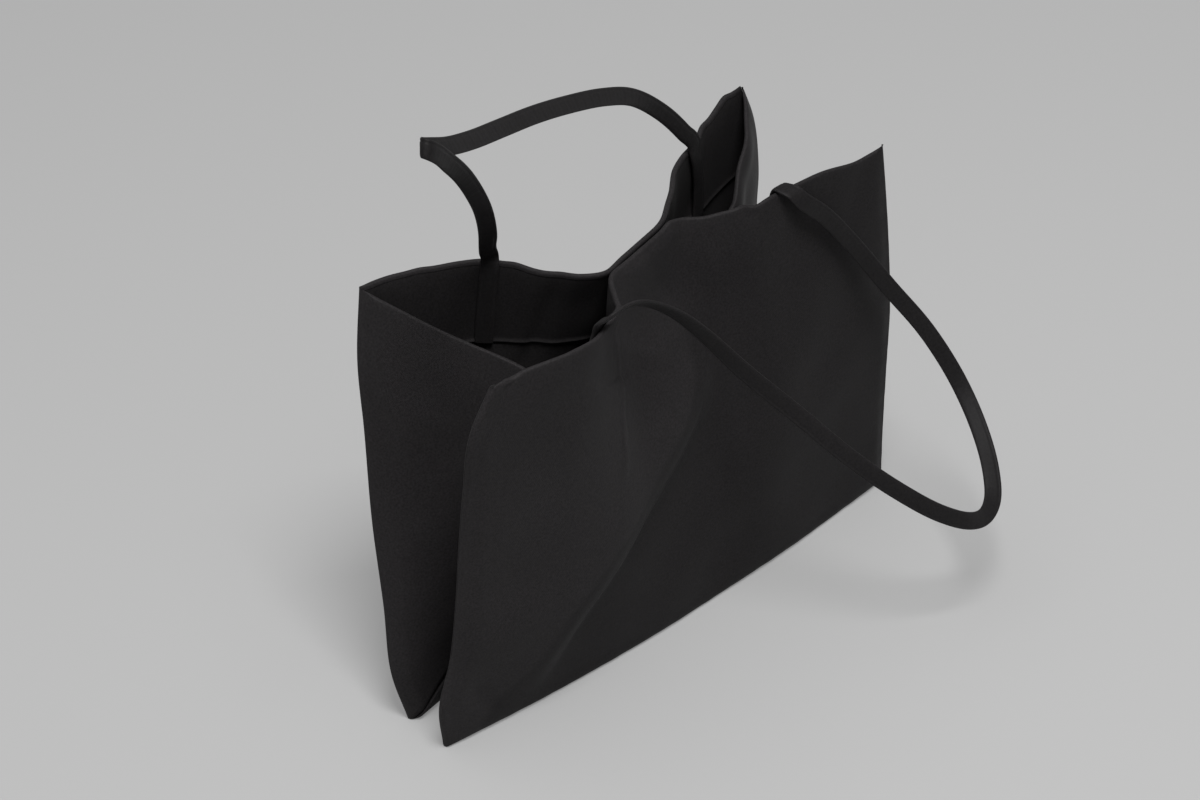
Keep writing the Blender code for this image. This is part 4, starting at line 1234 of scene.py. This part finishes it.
def build_floor():
    mesh = bpy.data.meshes.new("floor")
    reach = 6.0
    corners = [(-reach, -reach, 0), (reach, -reach, 0), (reach, reach, 0), (-reach, reach, 0)]
    mesh.from_pydata(corners, [], [(0, 1, 2, 3)])
    thing = bpy.data.objects.new("floor", mesh)
    bpy.context.scene.collection.objects.link(thing)
    made, tree, shader = new_material("floor_paint")
    shader.inputs["Roughness"].default_value = 0.9
    shader.inputs["Specular IOR Level"].default_value = 0.1
    spot = add_node(tree, "ShaderNodeSeparateXYZ")
    tree.links.new(add_node(tree, "ShaderNodeTexCoord").outputs["Object"], spot.inputs[0])
    # Painted light falloff: the floor tone drops with distance towards the back
    fall = math_node(tree, "ADD", math_node(tree, "MULTIPLY", spot.outputs["Y"], -floor_painted_falloff), 1.0)
    tone = add_node(tree, "ShaderNodeCombineColor")
    for socket in tone.inputs:
        tree.links.new(math_node(tree, "MULTIPLY", fall, floor_grey), socket)
    tree.links.new(tone.outputs[0], shader.inputs["Base Color"])
    glow = add_node(tree, "ShaderNodeEmission")
    tree.links.new(tone.outputs[0], glow.inputs["Color"])
    rays = add_node(tree, "ShaderNodeLightPath")
    mix = add_node(tree, "ShaderNodeMixShader")
    share = math_node(tree, "MULTIPLY", rays.outputs["Is Camera Ray"], floor_glow)
    tree.links.new(share, mix.inputs[0])
    tree.links.new(shader.outputs[0], mix.inputs[1])
    tree.links.new(glow.outputs[0], mix.inputs[2])
    tree.links.new(mix.outputs[0], tree.nodes["Material Output"].inputs["Surface"])
    mesh.materials.append(made)


def build_light(name, place_at, aim, size, power):
    lamp = bpy.data.lights.new(name, "AREA")
    lamp.shape = "SQUARE"
    lamp.size = size
    lamp.energy = power
    thing = bpy.data.objects.new(name, lamp)
    thing.location = place_at
    thing.rotation_euler = (Vector(aim) - Vector(place_at)).to_track_quat("-Z", "Y").to_euler()
    bpy.context.scene.collection.objects.link(thing)


def build_world(strength):
    world = bpy.data.worlds.new("room")
    bpy.context.scene.world = world
    world.use_nodes = True
    background = world.node_tree.nodes["Background"]
    background.inputs["Color"].default_value = (1, 1, 1, 1)
    background.inputs["Strength"].default_value = strength


build_floor()
build_light("softbox", (-0.4, 0.5, 2.8), (0, 0, 0.1), 2.2, 20.0)
build_light("key", (-0.45, -0.8, 2.6), (0, 0, 0.15), 0.9, 62.0)
build_world(0.33)

camera_turn, camera_lift, camera_distance = math.radians(44.8), math.radians(37.3), 1.912
camera_target = np.array([-0.035, 0.0, 0.159]) + shift
backwards = np.array([-math.sin(camera_turn) * math.cos(camera_lift),
                      -math.cos(camera_turn) * math.cos(camera_lift), math.sin(camera_lift)])
camera_data = bpy.data.cameras.new("camera")
camera_data.lens = 105
camera_data.sensor_width = 36
camera = bpy.data.objects.new("camera", camera_data)
bpy.context.scene.collection.objects.link(camera)
sideways_axis = np.array([math.cos(camera_turn), -math.sin(camera_turn), 0.0])
upwards_axis = np.cross(backwards, sideways_axis)
camera.matrix_world = Matrix([
    [*row, spot] for row, spot in zip(np.stack([sideways_axis, upwards_axis, backwards], 1).tolist(),
                                      (camera_target + backwards * camera_distance).tolist())
] + [[0, 0, 0, 1]])
bpy.context.scene.camera = camera
bpy.context.scene.view_settings.view_transform = "Standard"
